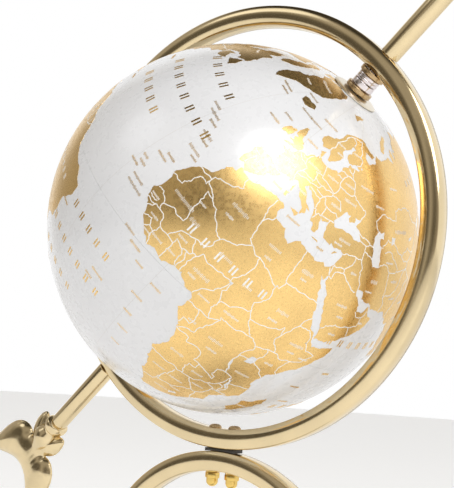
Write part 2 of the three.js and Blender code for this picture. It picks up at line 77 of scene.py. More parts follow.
LANDS = {
    "africa": [
        """-5.9 35.8, -2 35.1, 1 36.5, 5 36.8, 10 37.3, 11 36.9, 10.3 34.5, 11.2 33.2, 13.5 32.9, 15.4 32.3,
        16.5 31.2, 19 30.3, 20.1 31.6, 21.7 32.9, 23.2 32.2, 25.2 31.6, 29 30.9, 31 31.5, 32.3 31.2,
        32.5 29.9, 33.6 27.8, 35.5 24, 37.2 21, 37.2 19.6, 38.6 18, 39.7 15.5, 41.2 14.5, 43.1 12.6,
        43.2 11.5, 44.5 10.4, 48 11.2, 51.2 11.9, 50.8 9.5, 49 6.5, 48 4.5, 45.5 2.1, 42.5 -0.4, 41 -2,
        39.5 -4.2, 38.8 -6.2, 39.5 -8, 40.5 -10.5, 40.7 -14.8, 39 -16.8, 36.5 -18.5, 34.8 -20, 35.4 -22.5,
        35.5 -24, 32.8 -25.8, 32.7 -28, 31 -30, 28.5 -32.8, 25.7 -34, 22 -34.2, 19.8 -34.8, 18.4 -34.2,
        18 -32, 16.5 -28.8, 15 -26.5, 14.5 -23, 12.5 -18.5, 11.8 -16, 13.5 -12.5, 13.8 -10.5, 12.3 -6,
        11 -3.8, 9 -1, 9.5 1, 9.8 3, 8.7 4.6, 6.5 4.3, 5 5.8, 3.5 6.4, 1.2 6, -2 4.8, -4.5 5.2, -7.5 4.4,
        -9.5 5.6, -11.5 6.9, -13.2 9, -15 11, -16.8 12.8, -17.4 14.7, -16.5 16.5, -16.2 19.5, -17 21,
        -16 23.7, -14.5 26.2, -12.9 27.9, -10.2 29.3, -9.7 31.4, -8.5 33.3, -6.8 34.1""",
        "31.7 -2.4, 33.9 -2, 34.1 0.1, 32.6 0.4, 31.7 -0.9",
        "29.1 -3.4, 29.6 -6, 31 -8.5, 30.3 -7, 29.6 -4",
        "34.1 -9.6, 34.6 -12, 35.2 -14.2, 34.5 -14, 34 -11.6",
        "13.4 13.2, 14.6 12.7, 14.6 13.6",
    ],
    "eurasia": [
        """32.5 29.9, 33.2 28.6, 34.3 27.8, 34.95 29.5, 35.2 28, 37.2 25.8, 38.8 23, 39.2 21.2, 41 18.5,
        42.6 16, 43.3 12.8, 45 12.8, 48.5 14, 52.2 15.7, 55.2 17.6, 57.5 19, 59.8 22.4, 58.5 23.7,
        56.5 24.8, 56.3 26.2, 54.5 24.3, 51.8 24.1, 51.5 25.9, 50.3 26, 48.5 28.2, 48 30, 50 30,
        51.5 27.9, 54.5 26.6, 57 26.9, 57.5 25.7, 61.5 25.1, 66.5 25.3, 67.5 23.9, 69.2 22.2, 70.5 20.8,
        72.5 21.5, 72.8 19, 73.8 15.5, 74.8 12.8, 76.3 9.9, 77.5 8.1, 79 9.3, 80.3 13.1, 80.2 15.8,
        82.3 16.7, 85.4 19.6, 87.2 21.5, 89.5 21.8, 91.5 22.7, 92.3 20.8, 94.2 18.5, 94.3 16, 96.5 16.8,
        97.6 16.3, 98.6 12, 98.4 8.5, 100.3 6.2, 101.3 3, 103.5 1.3, 103.5 3.8, 102.2 6.2, 100.3 7.5,
        99.3 9.5, 99.5 11.8, 100.5 13.5, 102.5 12, 105 8.7, 107 10.4, 109.3 12, 108.8 15.3, 106.5 17.8,
        105.8 19.5, 107.5 21.3, 110 20.4, 111.5 21.6, 114.2 22.3, 117 23.6, 119.5 25.8, 121.8 28.5,
        121.9 31, 120.3 34.2, 119.3 35.2, 122.5 37.2, 119 37.6, 117.8 39.1, 121.2 40.9, 121.5 39,
        124.3 39.9, 125 37.8, 126.4 34.5, 129.2 35.3, 129.4 37.2, 127.6 39.6, 130.7 42.3, 133 42.8,
        136 44.5, 140.3 48.5, 141.3 53, 137.5 54, 138 56.5, 143 59.3, 149 59.6, 155 59.3, 157.5 61.5,
        163 62.3, 161.5 60, 156.8 57.5, 155.6 55, 156.8 51.2, 160 53.5, 162.5 56.2, 163.3 59, 166 60.2,
        170.5 60, 177.5 62.5, 179.5 64.5, 186 64.5, 190.3 66.1, 185 67, 180 69, 170.5 69.5, 160.5 69.6,
        152 71, 140 72.5, 130 71, 123 73.2, 113.5 73.6, 113 75.8, 104.5 77.7, 98 76.2, 87 75, 80.5 73.5,
        82 71.5, 75 72, 74 68.5, 73 71.3, 69 73, 66.8 70.8, 68.5 68.3, 60.5 69.7, 54 68.5, 48 67.6,
        44 68.5, 43.8 66.2, 40.5 64.7, 37 64, 34.8 64.5, 32.5 67, 40.5 66.4, 41 67.5, 33.5 69.4, 28.5 71,
        22 70.3, 15.5 68.6, 13 66, 10 63.8, 5.2 62, 5 59.5, 7 58, 10.6 59.3, 11.3 58.5, 12.8 56.2, 13 55.4,
        14.4 55.6, 16.5 57, 18.8 59.8, 17.2 60.8, 17.5 62.3, 21.3 64.5, 22.5 65.8, 25.4 65, 21.5 62.8,
        21.5 60.8, 23 59.9, 28 60.5, 30 59.9, 28 59.4, 23.5 59.2, 24.4 58.3, 21.5 57.5, 21.1 55.5,
        19.5 54.4, 18.5 54.8, 14.2 53.9, 11 54.2, 10.2 55.2, 10.5 57.5, 8.2 56.8, 8.8 54, 6 53.5, 4.2 52,
        1.6 50.8, 0.2 49.6, -1.6 49.6, -1.5 48.6, -4.7 48.4, -2 47.2, -1.2 45, -1.6 43.4, -8 43.7,
        -9.1 42.6, -8.8 41, -9.5 38.7, -8.9 37, -6.4 36.8, -5.6 36, -2.1 36.8, -0.5 38.4, -0.2 39.7,
        3.2 41.9, 3.1 43.2, 6.5 43.2, 8.8 44.4, 10.3 43.5, 12.3 41.7, 15.6 40.1, 15.9 38, 17 39, 17 40.4,
        18.5 40.1, 16.2 41.8, 13.6 43.6, 12.3 45.2, 13.6 45.7, 13.8 44.9, 15.2 44.3, 18.5 42.4, 19.5 41.6,
        19.4 40.3, 21.3 37.8, 22.5 36.5, 23.2 36.5, 24 38, 22.8 39.4, 22.8 40.5, 24 40.2, 26.3 40.9,
        26.2 40.1, 26.4 39.5, 27 38, 27.5 36.8, 30.5 36.3, 30.7 36.9, 32.5 36, 34.5 36.7, 36 36.5,
        35.8 34.5, 34.5 31.6, 32.3 31.2""",
        """29 41.3, 31.5 41.3, 35 42, 38 41, 41.5 41.6, 39.5 43.8, 37.3 45, 38.9 47.2, 35.5 46.3, 36.3 45.2,
        33.5 44.5, 32.6 45.4, 33.5 46.1, 31 46.6, 29.7 45, 28.5 43.5, 27.8 42.5""",
        """47.2 44, 47.8 42.5, 49.5 40.5, 48.9 38.4, 50.5 37, 53.8 36.9, 53.6 39.5, 53 41.5, 51 44.5, 53 45.5,
        52.5 46.9, 49.5 46.5""",
        "58.5 44, 61 44.5, 61.5 46.5, 59 46.3",
        "104 51.6, 108 53.9, 109.1 55.8, 110.4 55.3, 107.3 52.3",
        "30.9 60, 33 60.8, 31 61.6",
        "74 45, 78.5 46.2, 79 46.8, 74.5 46.3",
    ],
    "north_america": [
        """-168.1 65.6, -162 66.5, -166.8 68.4, -156.6 71.3, -141 69.7, -128 70.5, -115 68.5, -108 68,
        -95.5 68, -94.5 72, -90 69, -82 69.5, -82 67, -86.5 64.5, -94 61, -94.7 58.8, -92.5 57, -82.3 55.2,
        -82.2 52.8, -80 51.3, -78.8 52.5, -76.6 56.5, -78.5 58.6, -77.8 62.3, -73 62, -69.5 60.8, -69 58.9,
        -65 60, -61.5 56.5, -57 54, -55.7 52.3, -60 50.2, -66.5 50.2, -70.5 47, -64.5 49, -65 47.2,
        -61.5 46.1, -60 46.7, -61 45.1, -65.5 43.6, -66.5 45.1, -70.3 43.6, -70 41.7, -74 40.6, -75.9 37,
        -75.6 35.2,
        -79 33.5, -81.2 31.5, -80.1 26.8, -80.5 25.2, -81.8 26.2, -82.8 28.5, -84.3 30, -89.5 30.2,
        -89.2 29.1, -94 29.6, -97.3 27.5, -97.6 24.5, -96 19.2, -94.3 18.2, -91 18.7, -90.4 21, -87 21.5,
        -88 18.2, -88.8 15.9, -83.3 15, -83.7 11, -81.5 9, -79.6 9.5, -77.3 8.6, -77.9 7.4, -80 8.4,
        -80.4 7.4, -83 8.3, -85.7 10, -87.5 12.9, -92.2 14.5, -95 16.1, -99.8 16.8, -105.5 20.4,
        -105.6 22.6, -109.2 25.6, -112.8 30, -114.7 31.7, -112.9 28.2, -111.2 25.8, -109.5 23, -112.2 25,
        -115 27.8, -117.2 32.6, -120.6 34.6, -122.5 37.6, -124.3 40.4, -124 46, -124.7 48.4, -122.6 48.9,
        -127.8 51.5, -130.4 54.5, -134 58, -137 58.8, -144 60, -148.5 60, -151.8 59.2, -153 57.2,
        -158 56.3, -164.5 54.6, -160 57.5, -157.3 58.7, -162 58.7, -165.5 61.3, -161 64.2""",
        "-92 46.7, -89 48, -88 48.8, -84.8 46.6, -87 46.5",
        "-87.5 41.8, -86.3 42.5, -86 45.6, -87.8 44",
        "-82.5 43.2, -81 45.5, -84 45.8, -83.4 44.3",
        "-98.8 53.5, -96.5 50.5, -97 52.4",
        "-116.5 61.2, -110 62.7, -114 62.3",
        "-124 65.5, -119 66, -121 67",
    ],
    "south_america": [
        """-77.3 8.6, -75.6 10.5, -72 12.2, -71.4 10.8, -68.2 10.9, -64 10.3, -61.9 10.6, -60 8.5, -57 6,
        -51.7 4.2, -50 1, -48.5 -0.8, -44.3 -2.6, -40 -2.8, -35.3 -5.2, -34.9 -8, -37.2 -11.3, -39 -13.5,
        -39.2 -17.8, -41 -22, -44.5 -23.2, -48.5 -25.8, -48.7 -28.5, -52.2 -32.3, -54.9 -34.9, -58.3 -34.2,
        -56.7 -36.5, -57.7 -38.2, -62.2 -39, -65.1 -41, -63.8 -42.5, -65.5 -45, -67.5 -46.2, -65.8 -47.9,
        -69 -50.5, -68.3 -52.4, -65.2 -54.7, -70 -55.2, -71.5 -54, -74.5 -51.5, -75.5 -47.5, -73.5 -42,
        -73.6 -38.5, -71.6 -33.5, -71.4 -29.5, -70.3 -24, -70.2 -18.5, -76.2 -14, -79.7 -7.5, -81.3 -5,
        -80.2 -3, -80.9 -1, -79.8 1.2, -77.3 4, -77.9 7.4""",
    ],
    "greenland": [
        """-44 59.8, -48.5 61.2, -52 64.2, -53.8 67.5, -51 70, -54.5 71.5, -58.5 75.5, -68.5 76.1, -73 78.2,
        -65.5 80.5, -60 82, -45 82.5, -32.5 83.6, -20 81.8, -18.5 78.5, -19.5 75, -22 72, -25 70.3,
        -32 68.1, -39.5 65.5, -43 61.5""",
    ],
    "australia": [
        """114.2 -21.9, 117 -20.7, 119 -20, 122.2 -18, 124.5 -16, 127 -14, 129.5 -14.9, 130.8 -12.4,
        132.6 -11.4, 136.8 -12.2, 135.5 -14.9, 139.3 -17.5, 141 -16.5, 141.6 -13.5, 142.5 -10.8,
        143.8 -14.3, 145.4 -15, 146 -18.8, 149.2 -21, 153.2 -25.5, 153.5 -28.8, 151.5 -33, 150 -37.4,
        146.3 -39, 143.5 -38.8, 140.5 -38, 138.2 -35.5, 137.8 -33, 135.8 -34.8, 131.5 -31.5, 126 -32.3,
        123.8 -33.9, 118 -35, 115.1 -34.3, 115.7 -31.8, 113.7 -26.5, 113.7 -23.5""",
    ],
    "antarctica": [
        """-180 -78, -160 -77.8, -150 -77, -130 -74, -102 -72.5, -75 -73, -68 -67.5, -58 -63.4, -61 -68,
        -62 -74.5, -55 -77.5, -35 -78, -20 -73, 0 -70, 30 -69, 50 -66.5, 70 -68.5, 73 -70, 85 -66.5,
        110 -66, 135 -66.2, 150 -68.5, 170 -71.5, 165 -77.5, 180 -78, 180 -88, -180 -88""",
    ],
    "madagascar": [
        "49.3 -12, 50.5 -15.5, 49.5 -18, 47.2 -24.8, 45.2 -25.6, 43.4 -22.5, 44.4 -20, 44 -17, 46.5 -15.8",
    ],
    "great_britain": [
        """-5.5 50.1, -3.5 50.3, 1.3 51.2, 1.7 52.7, 0.2 53.2, -0.2 54.2, -1.6 55.6, -2.1 57.6, -3.2 58.6,
        -5.2 58.5, -5.8 56.5, -4.8 54.8, -3 54, -4.5 53.2, -4.2 52.2, -5.2 51.8, -3 51.4, -4.5 50.9""",
    ],
    "ireland": ["-6.2 53.5, -6.3 52.2, -10 51.6, -9.5 53.3, -9.8 54.2, -7.5 55.3, -5.6 54.6"],
    "iceland": ["-24.3 65.6, -22.6 63.9, -18.8 63.4, -13.7 65, -15 66.3, -18 66.1, -22.4 66.4"],
    "svalbard": ["11 79, 16 76.7, 22 78.5, 27 80, 20 80.5"],
    "novaya_zemlya": ["52 71, 57 70.7, 60 74, 68.5 76.8, 65 77, 56 75, 52.5 72.5"],
    "sicily": ["12.4 38, 15.2 36.7, 15.6 38.2"],
    "sardinia": ["8.4 39, 9.6 39.2, 9.6 41, 8.2 40.8"],
    "corsica": ["8.7 41.6, 9.3 41.5, 9.4 43, 8.7 42.5"],
    "crete": ["23.5 35.3, 26.3 35, 26.2 35.3, 24 35.6"],
    "cyprus": ["32.3 34.8, 34 35, 34.5 35.6, 33 35.3"],
    "sri_lanka": ["79.8 8, 80.2 6, 81.8 7, 81.2 8.6, 80 9.8"],
    "sumatra": ["""95.3 5.6, 98.5 3.7, 100.5 2, 103.8 -1, 106 -3, 105.8 -5.8, 104.5 -5.9, 100.4 -1,
        97.5 2"""],
    "java": ["105.2 -6.8, 106.5 -6, 110.5 -6.5, 114.4 -7.7, 114.4 -8.7, 108.5 -7.8"],
    "borneo": ["""109 1.5, 111.5 2.5, 113.5 3.5, 116.8 7, 119.2 5.2, 117.8 3, 118.9 1, 116.5 -1.5, 116 -4,
        111.5 -3.2, 110 -1.5"""],
    "sulawesi": ["""119.5 -5.5, 118.9 -2.8, 119.9 0.5, 121 1.2, 124.9 1.6, 123.5 0.4, 120.2 0.3, 121.5 -1,
        123.2 -0.8, 121.8 -2, 122.8 -4.5, 121.5 -4.6, 120.8 -2.8, 120.4 -5.5"""],
    "new_guinea": ["""131 -0.8, 134.2 -0.8, 135 -3.3, 138 -1.7, 141 -2.6, 145.5 -4.5, 147.8 -6.3, 150.7 -10.3,
        147.5 -9.8, 144.5 -7.7, 141 -9.1, 138 -8.3, 138.3 -6, 135 -4.4, 132.8 -4, 132 -2.8"""],
    "luzon": ["120.3 16, 120.8 18.5, 122.2 18.4, 121.6 15.9, 124 13, 120.7 13.8"],
    "mindanao": ["122 7, 123.6 8.6, 125.5 9.8, 126.5 7.5, 125.5 5.8, 124 6.5"],
    "honshu": ["""130.9 34, 132.5 35.4, 136 35.8, 137 37.4, 139.5 38.5, 140 40.5, 141.3 41.4, 142 39.6,
        141 37, 140.8 35.6, 138.8 34.6, 135.8 33.5, 135.2 34.7"""],
    "kyushu": ["129.7 33.3, 131 33.9, 132 33, 131.4 31.4, 130.2 31.2"],
    "hokkaido": ["140 41.5, 140.4 43.3, 141.7 45.5, 145.3 43.3, 143.2 42"],
    "sakhalin": ["142 46, 143.5 46.8, 143 49, 144.5 49, 143.2 52.5, 142.7 54.3, 142 53.4, 142.1 49"],
    "taiwan": ["120.1 23, 120.8 22, 121.9 25, 121 25"],
    "hainan": ["108.7 19.2, 110.5 20.1, 111 19.6, 109.6 18.2"],
    "tasmania": ["144.7 -40.7, 148.2 -40.9, 148 -43, 146.8 -43.6, 145.4 -42.4"],
    "north_island": [
        "172.8 -34.5, 175.5 -36.6, 178.4 -37.7, 177 -39.5, 175.2 -41.6, 173.8 -39.3, 174.7 -37.5",
    ],
    "south_island": ["172.7 -40.6, 174.3 -41.7, 171 -44.4, 170.6 -45.9, 168.4 -46.6, 166.5 -45.9, 170.5 -43"],
    "baffin": ["""-80 73.7, -76 72.6, -68.5 70.5, -62 66.8, -66 62, -72 64.3, -73 66.5, -78 70, -89 71,
        -88 73.6"""],
    "victoria": ["-117 69.5, -115 73.3, -105 73, -102 69.5, -113 68.6"],
    "ellesmere": ["-90 76.5, -80 76.3, -76 79, -62 82.5, -75 83.1, -90 81"],
    "banks": ["-125 72, -120 71.5, -118 74.5, -124 74.3"],
    "newfoundland": ["-59.3 47.7, -55.5 46.9, -53 46.7, -53.5 48.8, -55.8 51.5, -57.8 49.5"],
    "cuba": ["-84.9 21.9, -82.5 23.1, -77 21.5, -74.2 20.2, -77.5 19.9, -81.5 22.2"],
    "hispaniola": ["-74.3 18.3, -73.2 19.9, -68.5 18.6, -71.5 17.7"],
}

# Borders between countries, as open lines of longitude and latitude pairs.
BORDERS = """
-17.1 20.9, -13 21.3, -13 23.3, -12 23.4, -12 26, -8.7 26, -8.7 27.3; -13.1 27.7, -8.7 27.7;
-2.2 35.1, -1.8 33, -1.2 32.1, -3.6 30.9, -5.5 29.9, -8.7 28.7, -8.7 27.3, -4.8 25, 1.2 21.1, 3.2 19.1,
4.2 19.1;
-4.8 25, -6.6 25, -5.5 15.5, -9.3 15.5, -10.9 15.1, -12.2 14.8, -14.5 16.6, -16.5 16.1;
4.2 19.1, 7.5 20.9, 12 23.5, 10 24.5, 9.5 26.4, 9.9 28, 9.5 30.2, 7.6 33.5, 8.2 34.7, 8.6 36.9;
9.5 30.2, 10.3 31.8, 11.5 33.1; 12 23.5, 14.2 22.6, 15 23, 24 19.5, 24 20, 25 20, 25 22, 25 31.6;
25 22, 36.9 22; 24 19.5, 24 15.7, 22 13, 22.9 11, 24 8.7, 27.4 5.1, 22.5 4.1, 18.5 4.3, 18.6 3.5;
15 23, 15.9 20.3, 15.5 16.9, 13.5 14.4, 13.6 13.7, 10 13.3, 7 13, 4 13.5, 3.6 11.7, 2.8 9, 2.7 6.4;
4.2 19.1, 4.2 16.8, 3.5 15.4, 0.2 15, -2 14.2, -4 13.4, -5.4 11, -5.5 10.4, -8 10.2, -8.3 7.6, -7.5 4.4;
0.2 15, 1 13.4, 2.4 11.9, 3.6 11.7; -5.5 10.4, -2.8 9.6, -2.8 11, 0.9 11, 2.4 11.9; -2.8 9.6, -3.1 5.1;
0 11, 0.5 8.2, 1.2 6.1; 0.9 11, 1.6 9, 1.7 6.2; -8 10.2, -9 12.4, -11.4 12.4, -12.2 14.8;
-8.3 7.6, -10.3 8.5, -11.2 10, -13.3 9; -10.3 8.5, -11.5 6.9; -11.4 12.4, -13.7 12.7, -16.7 12.4;
-13.7 12.7, -13.7 11.7, -15 10.9; -16.8 13.5, -13.8 13.4;
8.6 4.8, 9.5 6.5, 12.2 8.4, 13.5 10.5, 14.1 13, 15.1 11, 14.2 10, 15.5 7.5, 14.5 5, 16.2 2.2;
9.8 2.3, 13.3 2.2, 16.2 2.2, 18.6 3.5, 17.8 0.5, 16.2 -2.2, 16 -3.6, 12.9 -4.8, 12.3 -5.8; 15.5 7.5,
18 8.2, 22.9 11;
13.3 2.2, 14 -0.5, 13.9 -2.4, 11.8 -2.4, 11.1 -3.9; 12.3 -6, 16.5 -5.9, 17 -7.5, 19.5 -7, 21.8 -7.3,
22 -11, 24 -11;
24 -11, 27 -12, 29.8 -13.3, 29.8 -12.2, 28.4 -11.8, 28.6 -9, 30.8 -8.3, 29.5 -6.5, 29.2 -3.5, 29.2 -1.5,
29.7 0.5,
31.2 2.2, 30.8 3.5; 27.4 5.1, 30.8 3.5, 34 4.2, 36 4.6, 39 3.6, 41.9 4, 41 2, 41 -0.9, 41.6 -1.7;
24 8.7, 28 9.4, 30 10, 32.4 11, 33.2 12.2, 34 9.5, 35 11.8, 36.5 14.3, 37.5 17, 38.6 18; 34 9.5, 33 7.8,
35.3 5.4, 36 4.6;
36.5 14.3, 40 14.4, 42.4 12.5, 41.8 11, 43 10, 44 9, 47 8, 45 5, 41.9 4; 34 4.2, 34.8 1.5, 33.9 0.1;
34 -1, 37.6 -3, 39.2 -4.7; 34 -1, 30.5 -1, 29.2 -1.5; 30.8 -8.3, 33 -9.4, 34.5 -11.5, 40.4 -10.5;
33 -9.4, 33.3 -12.5, 32.7 -13.7, 34.5 -14.5, 35.3 -17, 35.8 -14.5, 34.5 -11.5;
32.7 -13.7, 30.2 -15, 30.4 -15.7, 28 -17, 25.3 -17.8, 23.3 -17.6, 18.5 -17.4, 14 -17.4, 11.8 -17.3;
24 -11, 24 -13, 22 -13, 22 -16.2, 23.3 -17.6; 21 -18.3, 21 -22, 20 -22, 20 -28.4, 17.2 -28.6, 16.5 -28.6;
25.3 -17.8, 27.7 -20.5, 29.4 -22.2, 26.8 -24, 25.5 -25.7, 20.7 -26.9, 20 -24.8; 29.4 -22.2, 31.3 -22.4,
32 -26, 32.8 -26.8;
30.4 -15.7, 33 -16.7, 32.9 -20, 31.3 -22.4; 27 -29.6, 28.6 -28.6, 29.4 -29.5, 28 -30.6, 27 -29.6;
-8.8 41.9, -6.5 41.7, -7 39, -7.4 37.2; -1.8 43.3, 0.7 42.7, 3.1 42.4;
2.5 51.1, 4.2 50, 6.2 49.4, 8.2 49, 7.6 47.6, 6 46.3, 7 45.5, 7.6 43.8; 3.4 51.3, 5.8 51.2, 6.2 49.4;
7.2 53.2, 6 51.8, 5.8 51.2; 7 45.9, 10.4 46.6, 13.7 46.5, 16.1 46.9, 17 48.1, 13.8 48.8; 7.6 47.6,
13 47.5, 13.8 48.8;
14.3 53.9, 14.8 51, 12.3 50.3, 13.8 48.8; 14.8 51, 18.8 49.5, 22.6 49.1, 24 50.4, 23.6 51.5, 23.5 53.9,
19.8 54.4;
17 48.1, 22.1 48.4, 22.9 48, 20.3 46.1, 16.5 46.5; 22.9 48, 26.6 48.2, 28.2 45.5; 22.7 44.2, 27 44.1,
28.5 43.7;
20.3 46.1, 22.7 44.2, 22.5 41.3, 26.4 41.7, 28 42; 26.4 41.7, 26.2 40.8; 13.8 45.5, 16 45.2, 19 44.9,
19.2 43, 20 42;
19.4 41.9, 20.6 41.9, 21 40.8, 20 39.7; 21 40.8, 22.5 41.3; 19 44.9, 20.3 46.1;
23.6 51.5, 30.5 51.5, 32 52.1, 31 54.8, 28.2 56.1, 25 56.3, 21.2 56.1; 24.4 57.9, 27.4 57.5, 28.2 56.1;
27.4 57.5, 28 59.3;
32 52.1, 35.5 50.4, 40 49.6, 38.5 47.2; 27.8 60.5, 31.5 62.9, 29 66.5, 28.5 69, 28.8 69.8, 20.6 69.1,
23.5 68, 24.2 65.8;
11.2 59, 12.2 61.5, 14 64.5, 16.5 68, 20.6 69.1; 8.6 54.9, 9.9 54.8; 23.5 53.9, 25 56.3;
36 35.9, 38 36.8, 42.3 37.2, 44.8 37.2, 44.5 39.5, 46.5 38.9, 48.9 38.4; 41.5 41.5, 44.5 41.2, 46.5 41.9,
48.5 41.9;
40 43.4, 44 42.7, 46.5 41.9; 44.5 39.5, 44.5 41.2; 44.8 37.2, 46 35.5, 45.6 34, 47.7 31, 48.5 29.9;
42.3 37.2, 41.2 34.5, 38.8 33.4, 35.7 32.7; 38.8 33.4, 39.2 32.1, 37 31.5, 36 29.2, 35 29.4; 39.2 32.1,
44.7 29.2, 47.5 29;
35.5 33.1, 35.5 31.5, 34.9 29.5; 34.2 31.3, 34.9 29.5; 42.8 16.4, 44 17.4, 48 18.2, 52 19, 55 20,
55.2 22.7, 52.5 22.9, 51.6 24.1;
52 19, 53.1 16.6; 55.2 22.7, 56 24.9; 53.9 37.3, 57 38.2, 61.2 36.6, 60.8 34, 61.8 31, 61.7 29.5,
63.2 27.2, 61.6 25.2;
61.7 29.5, 66.3 29.9, 69.5 32, 71 34.2, 71.5 36.5, 74.8 37.2; 61.2 36.6, 64.5 36.3, 68 37, 71.5 37.5,
74.8 37.2;
53.5 42, 56 45, 61 44.5, 66 42, 68.5 41, 71 42.5, 74 43.2, 80 42.2; 56 41.5, 60 42, 66.5 37.5; 68.5 41,
71 40, 74.8 39.5;
49 46.3, 47 49, 51 51.5, 61 51, 61 54, 69 55.2, 77 54, 80 50.8, 87 49.2, 82.5 45.3, 80 42.2, 74.8 39.5,
74.8 37.2,
78.5 34.5, 79 32, 81 30.2, 88 27.9, 92 27.8, 97.5 28.3; 116 49.9, 120.5 53.3, 127.5 49.8, 134.8 48.3,
131 45, 130.6 42.4;
87 49.2, 98 51.5, 107 49.8, 116 49.9, 119.8 46.7, 112 43.7, 105 41.6, 96.5 42.7, 91 45.2, 87 49.2;
124.3 40, 130.6 42.4;
126.5 37.8, 128.5 38.5; 68.2 23.7, 71 27.8, 74.5 31, 75.5 32.5, 78.5 34.5; 81 30.2, 80 28.8, 88 26.4,
88 27.9;
89 22, 88.2 24.5, 89.8 26, 92.4 25, 91.5 23, 92.3 21, 94 24, 97.5 28.3, 98.7 25, 97.7 24, 101 21.6;
100 20.4, 97.8 18.5, 98.8 16, 99 13, 98.7 10.2; 101 21.6, 100 20.4, 101 17.6, 104.5 17.5, 105.2 14.3,
102.5 13.5, 102.9 11.7;
102 22.4, 104 20.5, 105.5 18.5, 107.5 16, 107.5 14.5, 105.2 14.3; 107.5 14.5, 107.5 12.3, 104.5 10.4;
108 21.5, 105.3 23.3,
102 22.4, 101 21.6; 100.1 6.4, 102 6.2; 109.7 2, 112 1.4, 114.5 1.5, 115.5 4.2, 117.8 4.2; 141 -2.7, 141 -9;
-123 49, -95.2 49, -91.5 48.1; -82.5 43, -79 43.3, -75 45, -71.5 45, -69.2 47.4, -67 45; -141 69.6,
-141 60.3, -135 59.5, -130 55.2;
-117.1 32.5, -114.8 32.6, -111 31.3, -108.2 31.6, -106.5 31.8, -103 29, -99.5 27.5, -97.4 25.9;
-92.2 14.6, -91.5 16.1, -90.5 17.8, -89.2 17.8, -88.4 18.5; -88.5 15.9, -89.3 14.4, -87.6 13; -87.5 13,
-86 13.8, -83.3 15;
-85.7 11.1, -83.7 10.9; -82.8 9.3, -82.9 8.3; -71.4 12, -72.5 9, -70 7, -67.5 6.2, -67 1.2, -69.8 1.1,
-70 -4.2, -75.2 -0.1,
-77.7 0.8, -79 1.4; -70 -4.2, -73.5 -7, -70.6 -9.6, -69.5 -11, -69.5 -17.5, -70.3 -18.3; -75.2 -0.1,
-78.3 -3.4, -80.2 -3.4;
-69.5 -11, -65.3 -10, -60.5 -13.7, -58 -17.5, -58 -20, -62.5 -22.2, -66.5 -22, -67.5 -22.8;
-69.5 -17.5, -67.5 -22.8, -69.5 -29, -70 -33.3, -71.5 -38, -71.7 -45, -72.5 -50, -68.5 -52.2;
-62.5 -22.2, -58.5 -27.2, -54.6 -25.6, -55.7 -22.3, -58 -20; -53.4 -33.7, -57.6 -30.2, -58.3 -34;
-57.6 -30.2, -53.8 -27.2, -54.6 -25.6;
-60 8.4, -60.7 5.2, -64 1.5, -67 1.2; -57.2 5.9, -58 2, -56.5 1.9, -54.5 2.3, -51.7 4.2; -60.7 5.2,
-59.8 2, -58 2; -54 5.9, -54.5 2.3
"""

# Printed marks: rows of small strokes where the map has its writing, none of them a letter. Each row is a
# longitude and latitude, a number of marks and their height in mm.

SEA_ROWS = """-46 44 5 4.6, -42 33 8 4.6, -50 24 5 4.6, -22 -8 5 4.2, -26 -19 8 4.2, -30 -30 5 4.2,
-30 40 6 1.7,
-27 38.2 8 1.7, -24 36.5 6 1.5, -21 33.5 7 1.7, -19.5 31.8 6 1.5, -19 28.6 8 1.7, -17 27.2 5 1.5,
-26 17.2 4 1.7,
-25 15.6 5 1.7, -27 14 7 1.5, -22 12.4 8 1.7, -21 10.4 11 1.7, -23 20.8 8 1.5, -21 22.6 7 1.4, -13 3 7 1.6,
-9 1.4 8 1.5, -5 -1 6 1.4, 2 -2 7 1.5, 0 -8 8 1.4, 1 -14 6 1.4, 3 -20 7 1.5, 4 -27 6 1.4, -12 -14 9 1.5,
-14 -17 6 1.4, -36 -12 7 1.5, -44 -40 8 1.5, -34 62 9 1.6, -31 60.4 7 1.5, -22 68 7 1.6, -12 62 8 1.5,
-4 62 8 1.5, 2 66 9 1.5, -16 52 8 1.5, -14 56 6 1.5, 3 56 7 1.5, 5 39.5 6 1.4, 16 35.5 8 1.5, 28 34 5 1.3,
52 -4 7 1.5, 56 -12 8 1.5, 58 3 6 1.5, 62 14 7 4, 66 -16 5 4.4, 72 -26 5 4.4, 88 10 7 4, -150 20 5 4.6,
-140 8 7 4.6, -120 -10 5 4.6, -110 -24 7 4.6, 150 30 5 4.6, 165 12 7 4.6, 90 -20 6 4.6, 80 -34 5 4.6,
-70 30 8 1.6, -66 18 7 1.5, -90 -2 8 1.6, -100 -30 7 1.5, 160 -30 7 1.6, 175 -20 6 1.5, 130 20 7 1.5"""

